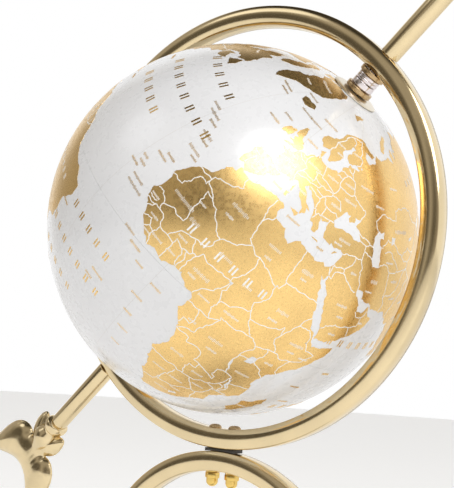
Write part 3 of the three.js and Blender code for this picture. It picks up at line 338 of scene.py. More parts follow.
LAND_ROWS = """-9 19 9 2.3, -5 22 5 1.4, 3 28 7 2.2, 2 25 5 1.5, -3 17.5 4 2.3, 9 17 5 2.3, 17 27 5 2.2,
17 24 4 1.5,
29 27 5 2.2, 29 25 4 1.4, 18 15 4 2.1, 30 15 5 2.2, 29 12 6 1.4, 7.5 9.5 7 2.1, 6 7.6 5 1.4, -2 12.6 6 1.5,
-1.5 8 5 1.5, -6.5 7.5 7 1.5, -15 14 6 1.4, -11 10.5 6 1.4, -9.5 6.6 6 1.3, 12 5.5 7 1.5, 20 6.5 9 1.5,
22 -2 6 2.2,
23 -5 7 1.4, 14 -1.5 5 1.4, 40 9 7 2, 40 6.5 5 1.4, 45 6 6 1.5, 37.5 0.5 5 1.6, 34.5 -6.5 8 1.7,
17.5 -12.5 6 2,
26 -14.8 6 1.7, 35.5 -17 9 1.4, 29.5 -19 7 1.5, 17.5 -21.5 7 1.6, 24 -22 8 1.5, 24 -30 6 2, 27 -26.5 7 1.4,
46.5 -19.5 7 1.3, -4 40 5 1.8, -3.5 38 5 1.3, 2.5 46.8 6 1.8, 2.3 48.8 4 1.3, 10.3 51 7 1.7, 12.5 43 5 1.5,
19.5 52 6 1.7, 26 46 6 1.6, 31 49.5 7 1.7, 28 53.6 6 1.5, 38 56 8 1.7, 48 53 7 1.5, 35 39.3 6 1.9,
33 37.8 6 1.3,
43.5 33 4 1.6, 45 24 6 1.9, 46.5 21 5 1.4, 54 33 4 2.1, 53 30 6 1.4, 47.5 15.8 5 1.5, 56 21 4 1.4,
66 34 6 1.7,
68 29 6 1.6, 66 48 9 2.3, 78 22 5 2.4, 77 27 6 1.4, 80 17 6 1.4, 60 39 7 1.5, 96 22 5 1.5, 101 15.5 6 1.4,
103 33 5 2.8, 110 28 8 1.5, 104 47 7 1.8, 100 62 6 3.2, 60 60 7 1.6, 135 64 7 1.6, 15 63 5 1.5,
26.5 64 5 1.5,
17 60 5 1.3, 134 -25 7 3, 122 -27 7 1.5, 147 -25 7 1.5, -100 40 6 3, -106 56 5 3, -102 24 5 1.8,
-88 36 7 1.5,
-119 40 7 1.5, -152 65 6 1.7, -72 55 6 1.6, -52 -10 6 3, -64 -35 7 1.8, -74 4 7 1.5, -75 -10 4 1.6,
-64 -17 6 1.4,
-41 76 8 2.2, -42 70 6 1.5, 10 16 6 4.4, 60 -80 9 3"""


def pairs(text):
    """Longitude and latitude pairs of a loop."""
    return [tuple(float(part) for part in item.split()) for item in text.split(",")]


# Places read from the frame -------------------------------------------------------

def middle(node):
    """The centre of a node's box."""
    low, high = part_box(node)
    return (low + high) / 2


def span(node):
    """The three sides of a node's box."""
    low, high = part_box(node)
    return high - low


spin = frame["joints"][0]
globe_centre = Vector(spin["pos_m"])
axle = Vector(spin["axis"]).normalized()
across = Vector((0, 1, 0)).cross(axle)
globe_radius = span("globe_shell_north").y / 2
ring_centre = middle("meridian_ring")
ring_radius = span("meridian_ring").x / 2
ring_depth = span("meridian_ring").y
stand_centre = middle("stand_ring")
stand_radius = span("stand_ring").x / 2

# Turns what is drawn about +Z at the origin so that it lies along the axle.
axle_turn = Matrix((across, Vector((0, 1, 0)), axle)).transposed()
axle_place = Matrix.Translation(ring_centre) @ axle_turn.to_4x4()
globe_place = Matrix.Translation(globe_centre) @ axle_turn.to_4x4()
ring_turn = Matrix.Rotation(math.pi / 2, 4, "X")


def axle_points(node):
    """A node's corners in the axle's own frame, from the ring's centre."""
    back = axle_place.inverted()
    return [back @ vert.co for vert in frame["nodes"][node].data.vertices]


def along_axle(node):
    """A node's lowest and highest reach along the axle."""
    reach = [point.z for point in axle_points(node)]
    return min(reach), max(reach)


def radii(node):
    """A node's smallest and largest radius about the axle."""
    found = [Vector((point.x, point.y)).length for point in axle_points(node)]
    return min(found), max(found)


# Settings ---------------------------------------------------------------------------

def length(name, description, default):
    return bpy.props.FloatProperty(name=name, description=description, default=default,
                                   unit="LENGTH", precision=5)


def colour(name, description, default):
    return bpy.props.FloatVectorProperty(name=name, description=description, default=default,
                                         subtype="COLOR", size=3, min=0.0, max=1.0)


def number(name, description, default):
    return bpy.props.FloatProperty(name=name, description=description, default=default)


def angle(name, description, degrees):
    return bpy.props.FloatProperty(name=name, description=description,
                                   default=math.radians(degrees), subtype="ANGLE")


class GlobeMetals(bpy.types.PropertyGroup):
    """Metal finishes"""
    gilt: colour("Gilt", "Polished pale gold of the rings and the arrow", (0.76, 0.62, 0.38))
    brass: colour("Brass", "Yellow brass of the screws and pole discs", (0.80, 0.56, 0.17))
    # Painted shade: a darker copy of the brass, standing in for the dark reflections on the pole bosses, the
    # lock nut and the screw heads.
    bronze: colour("Shaded brass", "Browner brass of the pole bosses and screw heads", (0.52, 0.37, 0.20))
    cream: colour("Cream", "Pale plated face of the pole discs", (0.80, 0.73, 0.60))
    steel: colour("Steel", "Bright steel of the pole spacers", (0.76, 0.70, 0.70))
    gilt_roughness: number("Gilt roughness", "Polish of the gilt", 0.12)


class GlobePrint(bpy.types.PropertyGroup):
    """The printed map"""
    sea: colour("Sea", "Pearl white of the sea", (0.73, 0.735, 0.75))
    line: colour("Line", "White of the borders and marks on the land", (0.86, 0.84, 0.80))
    foil: colour("Foil", "Gold foil of the land", (0.86, 0.59, 0.24))
    foil_height: length("Foil height", "How far the foil stands off the sea", 0.08 * MM)
    line_height: length("Line height", "How far a printed line stands off the sea", 0.12 * MM)
    line_width: length("Line width", "Width of a printed border", 0.46 * MM)
    coast_step: length("Coast step", "Longest straight stretch of coast", 1.1 * MM)
    turn: angle("Turn", "How far the printed map is turned about the axle", -65.061)
    lean: angle("Lean", "How far the printed pole leans off the axle, sideways", 3.825)
    tip: angle("Tip", "How far the printed pole tips off the axle, forwards", -3.519)
    stretch_east: angle("Stretch east", "How far the print creeps in longitude", 4.67)
    stretch_north: angle("Stretch north", "How far the print creeps in latitude", 1.2)


class GlobeStage(bpy.types.PropertyGroup):
    """Floor, light and camera"""
    floor: colour("Floor", "Pale floor", (0.88, 0.88, 0.88))
    floor_glow: number("Floor glow", "Light that the floor gives off, as a lit white sweep does", 0.35)
    camera_azimuth: angle("Camera azimuth", "Camera's place round the ring", 36.134)
    camera_elevation: angle("Camera elevation", "Camera's height over the ring's centre", -7.525)
    camera_distance: length("Camera distance", "Camera to the ring's centre", 564.3 * MM)
    look_azimuth: angle("Look azimuth", "Azimuth from which the camera looks", 36.672)
    look_elevation: angle("Look elevation", "Elevation from which the camera looks", -6.377)
    roll: angle("Roll", "Turn of the camera about its own line of sight", 3.638)
    lens: number("Lens", "Focal length in mm on a 36 mm sensor", 75.1)


def settings(group):
    return getattr(bpy.context.scene, "globe_" + group)


# Shader nodes -------------------------------------------------------------------------

class Socket:
    """A shader value with arithmetic: every operation adds a Math node."""

    def __init__(self, shader, out):
        self.shader = shader
        self.out = out

    def math(self, operation, *others):
        return self.shader.math(operation, self, *others)

    def __add__(self, other):
        return self.math("ADD", other)

    def __radd__(self, other):
        return self.shader.math("ADD", other, self)

    def __sub__(self, other):
        return self.math("SUBTRACT", other)

    def __rsub__(self, other):
        return self.shader.math("SUBTRACT", other, self)

    def __mul__(self, other):
        return self.math("MULTIPLY", other)

    def __rmul__(self, other):
        return self.shader.math("MULTIPLY", other, self)

    def __neg__(self):
        return self.math("MULTIPLY", -1.0)

    def __abs__(self):
        return self.math("ABSOLUTE")


class Shader:
    """A node tree, with one method that adds any node."""

    def __init__(self, tree):
        self.tree = tree
        tree.nodes.clear()

    def add(self, kind, setup=None, inputs=None, output=0):
        node = self.tree.nodes.new(kind)
        for name, value in (setup or {}).items():
            setattr(node, name, value)
        numbered = inputs.items() if isinstance(inputs, dict) else enumerate(inputs or [])
        for key, value in numbered:
            if isinstance(value, Socket):
                self.tree.links.new(value.out, node.inputs[key])
            else:
                node.inputs[key].default_value = value
        return Socket(self, node.outputs[output]) if node.outputs else None

    def math(self, operation, *values):
        return self.add("ShaderNodeMath", {"operation": operation}, values)

    def place(self, scale=1.0, centre=(0, 0, 0)):
        """Object coordinates, centred on a point of the piece and scaled."""
        spot = self.add("ShaderNodeTexCoord", output="Object")
        moved = self.add("ShaderNodeVectorMath", {"operation": "SUBTRACT"}, [spot, tuple(centre)])
        return self.add("ShaderNodeMapping", None, {"Vector": moved, "Scale": (scale, scale, scale)})

    def along(self, vector, direction):
        return self.add("ShaderNodeVectorMath", {"operation": "DOT_PRODUCT"},
                        [vector, tuple(direction)], "Value")

    def split(self, vector):
        return [self.along(vector, way) for way in ((1, 0, 0), (0, 1, 0), (0, 0, 1))]

    def join(self, x, y, z):
        return self.add("ShaderNodeCombineXYZ", None, [x, y, z])

    def grain(self, vector, scale, detail=3.0, roughness=0.5):
        return self.add("ShaderNodeTexNoise", None, {"Vector": vector, "Scale": scale, "Detail": detail,
                                                     "Roughness": roughness}, "Fac")

    def blend(self, share, low, high):
        low, high = ((*c, 1.0) if isinstance(c, tuple) else c for c in (low, high))
        return self.add("ShaderNodeMix", {"data_type": "RGBA"}, {0: share, 6: low, 7: high}, 2)

    def spread(self, value, low, high, to_low=0.0, to_high=1.0):
        return self.add("ShaderNodeMapRange", {"interpolation_type": "SMOOTHSTEP"},
                        [value, low, high, to_low, to_high])

    def bump(self, height, distance, strength=1.0):
        return self.add("ShaderNodeBump", None, {"Strength": strength, "Distance": distance,
                                                 "Height": height})

    def surface(self, **inputs):
        named = {key.replace("_", " "): value for key, value in inputs.items()}
        shade = self.add("ShaderNodeBsdfPrincipled", None, named)
        self.add("ShaderNodeOutputMaterial", None, {"Surface": shade})


def new_material(name):
    material = bpy.data.materials.new(name)
    material.use_nodes = True
    return material, Shader(material.node_tree)


def tint(rgb, factor):
    return tuple(min(1.0, part * factor) for part in rgb)


# Finishes -----------------------------------------------------------------------------

def polished(name, rgb, roughness, centre, lay="plain"):
    """Polished plate: faint clouding, hairline polish marks along its lay, soft wear in the gloss."""
    material, shader = new_material(name)
    spot = shader.place(1.0, centre)
    x, y, z = shader.split(spot)
    cloud = shader.grain(spot, 38.0, 4.0)
    if lay == "ring":
        radius = shader.math("SQRT", x * x + z * z)
        marks_at = shader.join(radius * 5200.0, y * 5200.0, shader.math("ARCTAN2", z, x) * 14.0)
    elif lay == "axle":
        marks_at = shader.join(shader.along(spot, axle) * 60.0, shader.along(spot, across) * 4200.0,
                               y * 4200.0)
    else:
        marks_at = shader.place(1500.0, centre)
    marks = shader.grain(marks_at, 1.0, 2.0, 0.6)
    shade = shader.blend(shader.spread(cloud, 0.35, 0.7), tint(rgb, 0.95), tint(rgb, 1.03))
    gloss = roughness + 0.04 * shader.spread(cloud, 0.4, 0.75) + 0.05 * shader.spread(marks, 0.45, 0.8)
    relief = shader.bump(marks, 0.0015 * MM, 0.5)
    shader.surface(Base_Color=shade, Metallic=1.0, Roughness=gloss, Normal=relief)
    return material


def cast_gilt():
    """Cast and polished gilt, slightly wavy under the plating."""
    rgb = tuple(settings("metals").gilt)
    material, shader = new_material("cast_gilt")
    spot = shader.place(1.0, ring_centre)
    wave = shader.grain(spot, 110.0, 2.0)
    fine = shader.grain(spot, 1400.0, 2.0)
    shade = shader.blend(shader.spread(wave, 0.35, 0.7), tint(rgb, 0.92), tint(rgb, 1.04))
    gloss = 0.13 + 0.08 * shader.spread(fine, 0.4, 0.75)
    relief = shader.bump(wave + 0.02 * fine, 0.2 * MM, 0.3)
    shader.surface(Base_Color=shade, Metallic=1.0, Roughness=gloss, Normal=relief)
    return material


def dull(name, dark, pale, centre, scale, relief_height, roughness):
    """A matt finish with a fine grit in its colour, gloss and relief."""
    material, shader = new_material(name)
    spot = shader.place(1.0, centre)
    grit = shader.grain(spot, scale, 4.0, 0.65)
    cloud = shader.grain(spot, scale / 12.0, 3.0)
    shade = shader.blend(0.7 * grit + 0.3 * cloud, dark, pale)
    gloss = roughness + 0.15 * grit
    relief = shader.bump(grit, relief_height, 0.7)
    shader.surface(Base_Color=shade, Roughness=gloss, Normal=relief)
    return material


def print_axes():
    """The printed map's own axes: towards longitude 0, longitude 90 and the north pole."""
    options = settings("print")
    return axle_turn @ Euler((options.tip, options.lean, options.turn), "XYZ").to_matrix()


def pearl_sea():
    """Lacquered pearl print, with the thin joins of its paper gores."""
    options = settings("print")
    material, shader = new_material("pearl_sea")
    spot = shader.place(1.0, globe_centre)
    x, y, _ = (shader.along(spot, print_axes().col[k]) for k in range(3))
    gore = math.radians(30.0)
    lon = shader.math("ARCTAN2", y, x)
    level = shader.math("SQRT", x * x + y * y)
    off_join = abs(shader.math("WRAP", lon, gore / 2, -gore / 2)) * level
    join = 1.0 - shader.spread(off_join, 0.06 * MM, 0.2 * MM)
    cloud = shader.grain(spot, 14.0, 4.0)
    dust = shader.grain(spot, 1500.0, 2.0, 0.7)
    sheen = shader.grain(spot, 260.0, 3.0)
    body = shader.blend(shader.spread(cloud, 0.35, 0.7), tint(tuple(options.sea), 0.97),
                        tint(tuple(options.sea), 1.03))
    speckled = shader.blend(0.12 * shader.spread(dust, 0.62, 0.75), body, (0.50, 0.45, 0.38))
    shade = shader.blend(0.35 * join, speckled, (0.50, 0.46, 0.41))
    relief = shader.bump(0.2 * sheen + 0.1 * dust - join, 0.02 * MM, 0.3)
    shader.surface(Base_Color=shade, Roughness=0.24 + 0.08 * sheen, Normal=relief, Coat_Weight=0.5,
                   Coat_Roughness=0.1)
    return material


def gold_foil():
    """Hot-stamped foil: drifts of deeper gold under a fine glittering grain."""
    rgb = tuple(settings("print").foil)
    material, shader = new_material("gold_foil")
    spot = shader.place(1.0, globe_centre)
    drift = shader.grain(spot, 30.0, 4.0)
    grain = shader.grain(spot, 1100.0, 3.0, 0.7)
    crackle = shader.grain(spot, 420.0, 4.0, 0.65)
    deep = shader.blend(shader.spread(drift, 0.35, 0.7), tint(rgb, 0.92), tint(rgb, 1.05))
    shade = shader.blend(0.35 * shader.spread(grain, 0.5, 0.72), deep, tint(rgb, 0.55))
    gloss = 0.25 + 0.10 * shader.spread(crackle, 0.4, 0.7) + 0.08 * shader.spread(grain, 0.45, 0.7)
    relief = shader.bump(grain + 0.6 * crackle, 0.02 * MM, 0.4)
    shader.surface(Base_Color=shade, Metallic=1.0, Roughness=gloss, Normal=relief)
    return material


def white_line():
    """The unfoiled white of the borders and marks."""
    rgb = tuple(settings("print").line)
    material, shader = new_material("white_line")
    spot = shader.place(1.0, globe_centre)
    wear = shader.grain(spot, 900.0, 3.0)
    shade = shader.blend(shader.spread(wear, 0.4, 0.8), rgb, tint(rgb, 0.85))
    shader.surface(Base_Color=shade, Roughness=0.3 + 0.1 * wear, Coat_Weight=0.3)
    return material


def marble():
    """White marble: soft grey clouds and a few thin veins, polished."""
    material, shader = new_material("marble")
    spot = shader.place(1.0, middle("base_block"))
    bend = shader.add("ShaderNodeTexNoise", None, {"Vector": spot, "Scale": 16.0, "Detail": 5.0}, "Color")
    pushed = shader.add("ShaderNodeVectorMath", {"operation": "MULTIPLY_ADD"},
                        [bend, (0.05, 0.05, 0.05), spot])
    vein = abs(shader.grain(pushed, 22.0, 6.0, 0.55) - 0.5)
    thin = 1.0 - shader.spread(vein, 0.0, 0.03)
    wide = 1.0 - shader.spread(vein, 0.0, 0.14)
    cloud = shader.grain(spot, 30.0, 5.0)
    body = shader.blend(shader.spread(cloud, 0.35, 0.7), (0.84, 0.83, 0.82), (0.74, 0.74, 0.75))
    soft = shader.blend(0.35 * wide, body, (0.52, 0.52, 0.55))
    shade = shader.blend(0.6 * thin, soft, (0.30, 0.29, 0.29))
    shader.surface(Base_Color=shade, Roughness=0.14 + 0.08 * cloud, Coat_Weight=0.25,
                   Normal=shader.bump(cloud, 0.02 * MM, 0.3))
    return material


def add_finishes():
    """Every finish, made once and then looked up by name."""
    metals = settings("metals")
    gilt_rgb = tuple(metals.gilt)
    polished("gilt_ring", gilt_rgb, metals.gilt_roughness, ring_centre, "ring")
    polished("gilt_stand", gilt_rgb, metals.gilt_roughness, stand_centre, "ring")
    polished("gilt_arrow", gilt_rgb, metals.gilt_roughness, ring_centre, "axle")
    polished("brass", tuple(metals.brass), 0.18, globe_centre)
    # Painted shade: the darker copy of the brass, whose colour stands in for the dark reflections of the
    # pieces that take it.
    polished("bronze", tuple(metals.bronze), 0.24, globe_centre)
    polished("cream", tuple(metals.cream), 0.28, globe_centre)
    polished("steel", tuple(metals.steel), 0.10, globe_centre, "axle")
    dull("dark_shim", (0.012, 0.010, 0.008), (0.05, 0.04, 0.03), ring_centre, 900.0, 0.05 * MM, 0.4)
    dull("moulded_plastic", (0.66, 0.64, 0.60), (0.78, 0.76, 0.72), globe_centre, 1600.0, 0.02 * MM, 0.45)
    dull("felt", (0.015, 0.015, 0.014), (0.075, 0.072, 0.065), middle("base_pad"), 2200.0, 0.15 * MM, 0.82)
    cast_gilt()
    pearl_sea()
    gold_foil()
    white_line()
    marble()


def paint(node, finish):
    """Gives a CAD node that keeps its shape a finish."""
    piece = frame["nodes"][node]
    piece.data.materials.clear()
    piece.data.materials.append(bpy.data.materials[finish])


# Pieces -------------------------------------------------------------------------------

def finish_piece(bm, name, finish, body, replaces=(), crease=35.0):
    """Turns a bmesh into a finished piece that rides on a body."""
    mesh = bpy.data.meshes.new(name)
    bm.to_mesh(mesh)
    bm.free()
    mesh.materials.append(bpy.data.materials[finish])
    mesh.polygons.foreach_set("use_smooth", [True] * len(mesh.polygons))
    mesh.set_sharp_from_angle(angle=math.radians(crease))
    piece = bpy.data.objects.new(name, mesh)
    bpy.context.scene.collection.objects.link(piece)
    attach(piece, body)
    if replaces:
        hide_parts(*replaces)
    return piece


def radial_normals(piece):
    """Shades the outward faces of a thin print as the true sphere under it."""
    mesh = piece.data
    normals = []
    for face in mesh.polygons:
        outward = (face.center - globe_centre).normalized()
        for index in face.vertices:
            way = (mesh.vertices[index].co - globe_centre).normalized()
            normals.append(way if face.normal.dot(outward) > 0.8 else face.normal)
    mesh.normals_split_custom_set(normals)


def fresh_geometry(bm, before):
    faces = [face for face in bm.faces if face not in before]
    return faces, list(dict.fromkeys(vert for face in faces for vert in face.verts))


def add_turned(bm, profile, steps, place=Matrix()):
    """Spins [radius, height] pairs about Z. The profile closes on itself, or starts and ends on the axis."""
    before = set(bm.faces)
    verts = [bm.verts.new((radius, 0.0, height)) for radius, height in profile]
    on_axis = profile[0][0] < 1e-9
    chain = list(zip(verts, verts[1:])) + ([] if on_axis else [(verts[-1], verts[0])])
    edges = [bm.edges.new(pair) for pair in chain]
    bmesh.ops.spin(bm, geom=verts + edges, cent=(0, 0, 0), axis=(0, 0, 1), dvec=(0, 0, 0),
                   angle=2 * math.pi, steps=steps, use_merge=True, use_duplicate=False)
    bmesh.ops.remove_doubles(bm, verts=fresh_geometry(bm, before)[1], dist=1e-7)
    faces, verts = fresh_geometry(bm, before)
    bmesh.ops.recalc_face_normals(bm, faces=faces)
    bmesh.ops.transform(bm, matrix=place, verts=verts)
    return verts


def rounded(profile, radius, steps=3):
    """Rounds the corners of a profile, each by at most a share of its shorter side."""
    closed = profile[0][0] > 1e-9
    result = []
    for index, corner in enumerate(profile):
        here = Vector(corner)
        if here.x < 1e-9 or (not closed and index in (0, len(profile) - 1)):
            result.append(corner)
            continue
        back = Vector(profile[index - 1]) - here
        ahead = Vector(profile[(index + 1) % len(profile)]) - here
        reach = min(radius, 0.45 * back.length, 0.45 * ahead.length)
        start = here + back.normalized() * reach
        end = here + ahead.normalized() * reach
        for step in range(steps + 1):
            share = step / steps
            point = start * (1 - share) ** 2 + here * 2 * share * (1 - share) + end * share ** 2
            result.append((point.x, point.y))
    return result


def add_box(bm, size, place, bevel=0.0, segments=3):
    """A box with rounded edges."""
    before = set(bm.faces)
    bmesh.ops.create_cube(bm, size=1.0, matrix=place @ Matrix.Diagonal((*size, 1.0)))
    if bevel:
        faces, _ = fresh_geometry(bm, before)
        edges = list(dict.fromkeys(edge for face in faces for edge in face.edges))
        bmesh.ops.bevel(bm, geom=edges, offset=bevel, segments=segments, profile=0.5,
                        affect="EDGES", material=-1)
    return fresh_geometry(bm, before)


# The print ----------------------------------------------------------------------------

def on_globe(lon, lat, height=0.0):
    """A printed point's place, from its longitude and latitude in degrees."""
    options = settings("print")
    east = math.radians(lon) + options.stretch_east * math.sin(math.radians(lon))
    north = math.radians(lat) + options.stretch_north * math.sin(2 * math.radians(lat))
    way = Vector((math.cos(north) * math.cos(east), math.cos(north) * math.sin(east), math.sin(north)))
    return globe_centre + print_turn @ way * (globe_radius + height)


def wander(lon, lat):
    """Moves a point of a coast or a border a little, always the same way."""
    spot = Vector((lon * 0.45, lat * 0.45, 14.78))
    drift = noise.turbulence_vector(spot, 4, False, noise_basis="PERLIN_ORIGINAL", amplitude_scale=0.6)
    return lon + COAST_BEND * drift.x / max(0.3, math.cos(math.radians(lat))), lat + COAST_BEND * drift.y


def drawn(points, closed):
    """A loop or a line with natural detail: split into short stretches, each point moved a little."""
    step = math.degrees(settings("print").coast_step / globe_radius)
    ends = points[1:] + points[:1] if closed else points[1:]
    result = []
    for (lon, lat), (next_lon, next_lat) in zip(points, ends):
        reach = math.hypot((next_lon - lon) * math.cos(math.radians(lat)), next_lat - lat)
        count = max(1, round(reach / step))
        for index in range(count):
            share = index / count
            result.append((lon + (next_lon - lon) * share, lat + (next_lat - lat) * share))
    if not closed:
        result.append(points[-1])
    fixed = abs(points[0][0]) == 180
    return result if fixed else [wander(lon, lat) for lon, lat in result]


def thicken(bm, low, high):
    """Gives a sheet on the globe its thickness, from low to high over the globe's surface."""
    sheet = list(bm.faces)
    bmesh.ops.recalc_face_normals(bm, faces=sheet)
    facing = sum(face.normal.dot(face.calc_center_median() - globe_centre) for face in sheet)
    if facing < 0:
        bmesh.ops.reverse_faces(bm, faces=sheet)
    made = bmesh.ops.extrude_face_region(bm, geom=sheet, use_keep_orig=True)
    top = {item for item in made["geom"] if isinstance(item, bmesh.types.BMVert)}
    for vert in bm.verts:
        way = (vert.co - globe_centre).normalized()
        vert.co = globe_centre + way * (globe_radius + (high if vert in top else low))
    bmesh.ops.recalc_face_normals(bm, faces=bm.faces)


def fill_loop(bm, points):
    """Adds one flat face with the given corners."""
    verts = [bm.verts.new(point) for point in points]
    edges = [bm.edges.new(ends) for ends in zip(verts, verts[1:] + verts[:1])]
    if len(bmesh.ops.contextual_create(bm, geom=edges)["faces"]) != 1:
        raise RuntimeError(f"an outline of {len(verts)} points did not fill")


def cut_grid(bm, axes, step, dist):
    """Cuts a flat mesh along two sets of lines, a step apart, then into triangles."""
    for axis in axes:
        first = min(vert.co[axis] for vert in bm.verts)
        last = max(vert.co[axis] for vert in bm.verts)
        normal = Vector([float(axis == k) for k in range(3)])
        for index in range(math.ceil(first / step), math.floor(last / step) + 1):
            bmesh.ops.bisect_plane(bm, geom=list(bm.verts) + list(bm.edges) + list(bm.faces),
                                   dist=dist, plane_co=normal * index * step, plane_no=normal)
    bmesh.ops.triangulate(bm, faces=bm.faces)


def add_outline(bm, loop):
    """Fills one closed loop of the flat map."""
    fill_loop(bm, [(lon, lat, 0.0) for lon, lat in drawn(pairs(loop), True)])


def wrap(bm, low, high):
    """Cuts a flat map along meridians and parallels, bends it round the globe and gives it thickness."""
    bmesh.ops.triangulate(bm, faces=bm.faces)
    cut_grid(bm, (0, 1), GRID, 1e-6)
    for vert in bm.verts:
        vert.co = on_globe(vert.co.x, vert.co.y)
    bmesh.ops.remove_doubles(bm, verts=bm.verts, dist=0.001 * MM)
    thicken(bm, low, high)


class GLOBE_OT_land(bpy.types.Operator):
    """Gold foil land, one piece for each continent or island, and the inland seas left white in it"""
    bl_idname = "globe.land"
    bl_label = "Land"

    def execute(self, context):
        options = settings("print")
        noise.seed_set(COAST_SEED)
        seas = bmesh.new()
        for name, (coast, *lakes) in LANDS.items():
            bm = bmesh.new()
            add_outline(bm, coast)
            wrap(bm, FOOT, options.foil_height)
            radial_normals(finish_piece(bm, "land_" + name, "gold_foil", "globe"))
            for lake in lakes:
                add_outline(seas, lake)
        wrap(seas, 0.5 * options.foil_height, options.foil_height + 0.015 * MM)
        radial_normals(finish_piece(seas, "inland_seas", "pearl_sea", "globe"))
        return {"FINISHED"}


class GLOBE_OT_borders(bpy.types.Operator):
    """White borders between countries"""
    bl_idname = "globe.borders"
    bl_label = "Borders"

    def execute(self, context):
        options = settings("print")
        noise.seed_set(COAST_SEED)
        bm = bmesh.new()
        for text in BORDERS.split(";"):
            points = [on_globe(lon, lat) for lon, lat in drawn(pairs(text), False)]
            sides = ([], [])
            for index, here in enumerate(points):
                ahead = points[min(index + 1, len(points) - 1)] - points[max(index - 1, 0)]
                side = ahead.cross(here - globe_centre).normalized() * options.line_width / 2
                sides[0].append(bm.verts.new(here + side))
                sides[1].append(bm.verts.new(here - side))
            edges = [bm.edges.new(pair) for side in sides for pair in zip(side, side[1:])]
            bmesh.ops.bridge_loops(bm, edges=edges)
        thicken(bm, FOOT, options.line_height)
        piece = finish_piece(bm, "country_borders", "white_line", "globe")
        radial_normals(piece)
        return {"FINISHED"}


class GLOBE_OT_marks(bpy.types.Operator):
    """Rows of small strokes where the map has its writing: foil on the sea, white on the land"""
    bl_idname = "globe.marks"
    bl_label = "Marks"

    def execute(self, context):
        options = settings("print")
        rng = random.Random(41)
        for name, rows, finish, slot, height in (
            ("sea_marks", SEA_ROWS, "gold_foil", "gold_foil", options.foil_height),
            ("land_marks", LAND_ROWS, "white_line", "globe_skin", options.line_height),
        ):
            bm = bmesh.new()
            for row in rows.split(","):
                lon, lat, count, tall = (float(part) for part in row.split())
                self.add_row(bm, rng, lon, lat, int(count), tall * MM, height)
            finish_piece(bm, name, finish, "globe")
        return {"FINISHED"}

    @staticmethod
    def add_row(bm, rng, lon, lat, count, tall, height):
        """A row of marks along a parallel: each two strokes side by side, full height where the marks are big
        and each of a random full or short height where they are small.
        """
        big = tall > 2.5 * MM
        pitch = tall * (1.9 if big else 0.62)
        thick = 0.2 * tall if big else 0.24 * MM
        step = math.degrees(pitch / globe_radius) / math.cos(math.radians(lat))
        for index in range(count):
            here_lon = lon + (index - (count - 1) / 2) * step
            centre = on_globe(here_lon, lat)
            up = (centre - globe_centre).normalized()
            north = (on_globe(here_lon, lat + 0.2) - centre).normalized()
            east = north.cross(up)
            turn = Matrix((east, north, up)).transposed().to_4x4()
            if big:
                strokes = [(-0.22 * tall, 0.0, thick, tall), (0.22 * tall, 0.0, thick, tall)]
            else:
                bars = (1.0, 0.62, 0.62, 0.62)
                strokes = [(side * 0.16 * tall, 0.0, thick, tall * rng.choice(bars)) for side in (-1, 1)]
            for x, y, wide, high in strokes:
                depth = height - FOOT
                lift = (height + FOOT) / 2
                place = Matrix.Translation(centre) @ turn @ Matrix.Translation((x, y, lift))
                bmesh.ops.create_cube(bm, size=1.0, matrix=place @ Matrix.Diagonal((wide, high, depth, 1)))


class GLOBE_OT_skin(bpy.types.Operator):
    """The globe's two lacquered half shells, with their inner faces and the join at the equator"""
    bl_idname = "globe.skin"
    bl_label = "Globe skin"

    def execute(self, context):
        wall = 2.5 * MM
        half_gap = 0.04 * MM
        hole = 6.0 * MM
        flip = Matrix.Rotation(math.pi, 4, "X")
        for name, place in (("globe_shell_north", globe_place), ("globe_shell_south", globe_place @ flip)):
            outer = self.arc(globe_radius, half_gap, hole, 64)
            inner = self.arc(globe_radius - wall, half_gap, hole, 20)
            bm = bmesh.new()
            add_turned(bm, outer + inner[::-1], 256, place)
            finish_piece(bm, name + "_fine", "pearl_sea", "globe", (name,))
        for node in ("equator_band", "north_pole_bush", "south_pole_bush"):
            paint(node, "moulded_plastic")
        return {"FINISHED"}

    @staticmethod
    def arc(radius, low, hole, rows):
        start = math.asin(low / radius)
        end = math.acos(hole / radius)
        angles = [start + (end - start) * row / rows for row in range(rows + 1)]
        return [(radius * math.cos(a), radius * math.sin(a)) for a in angles]


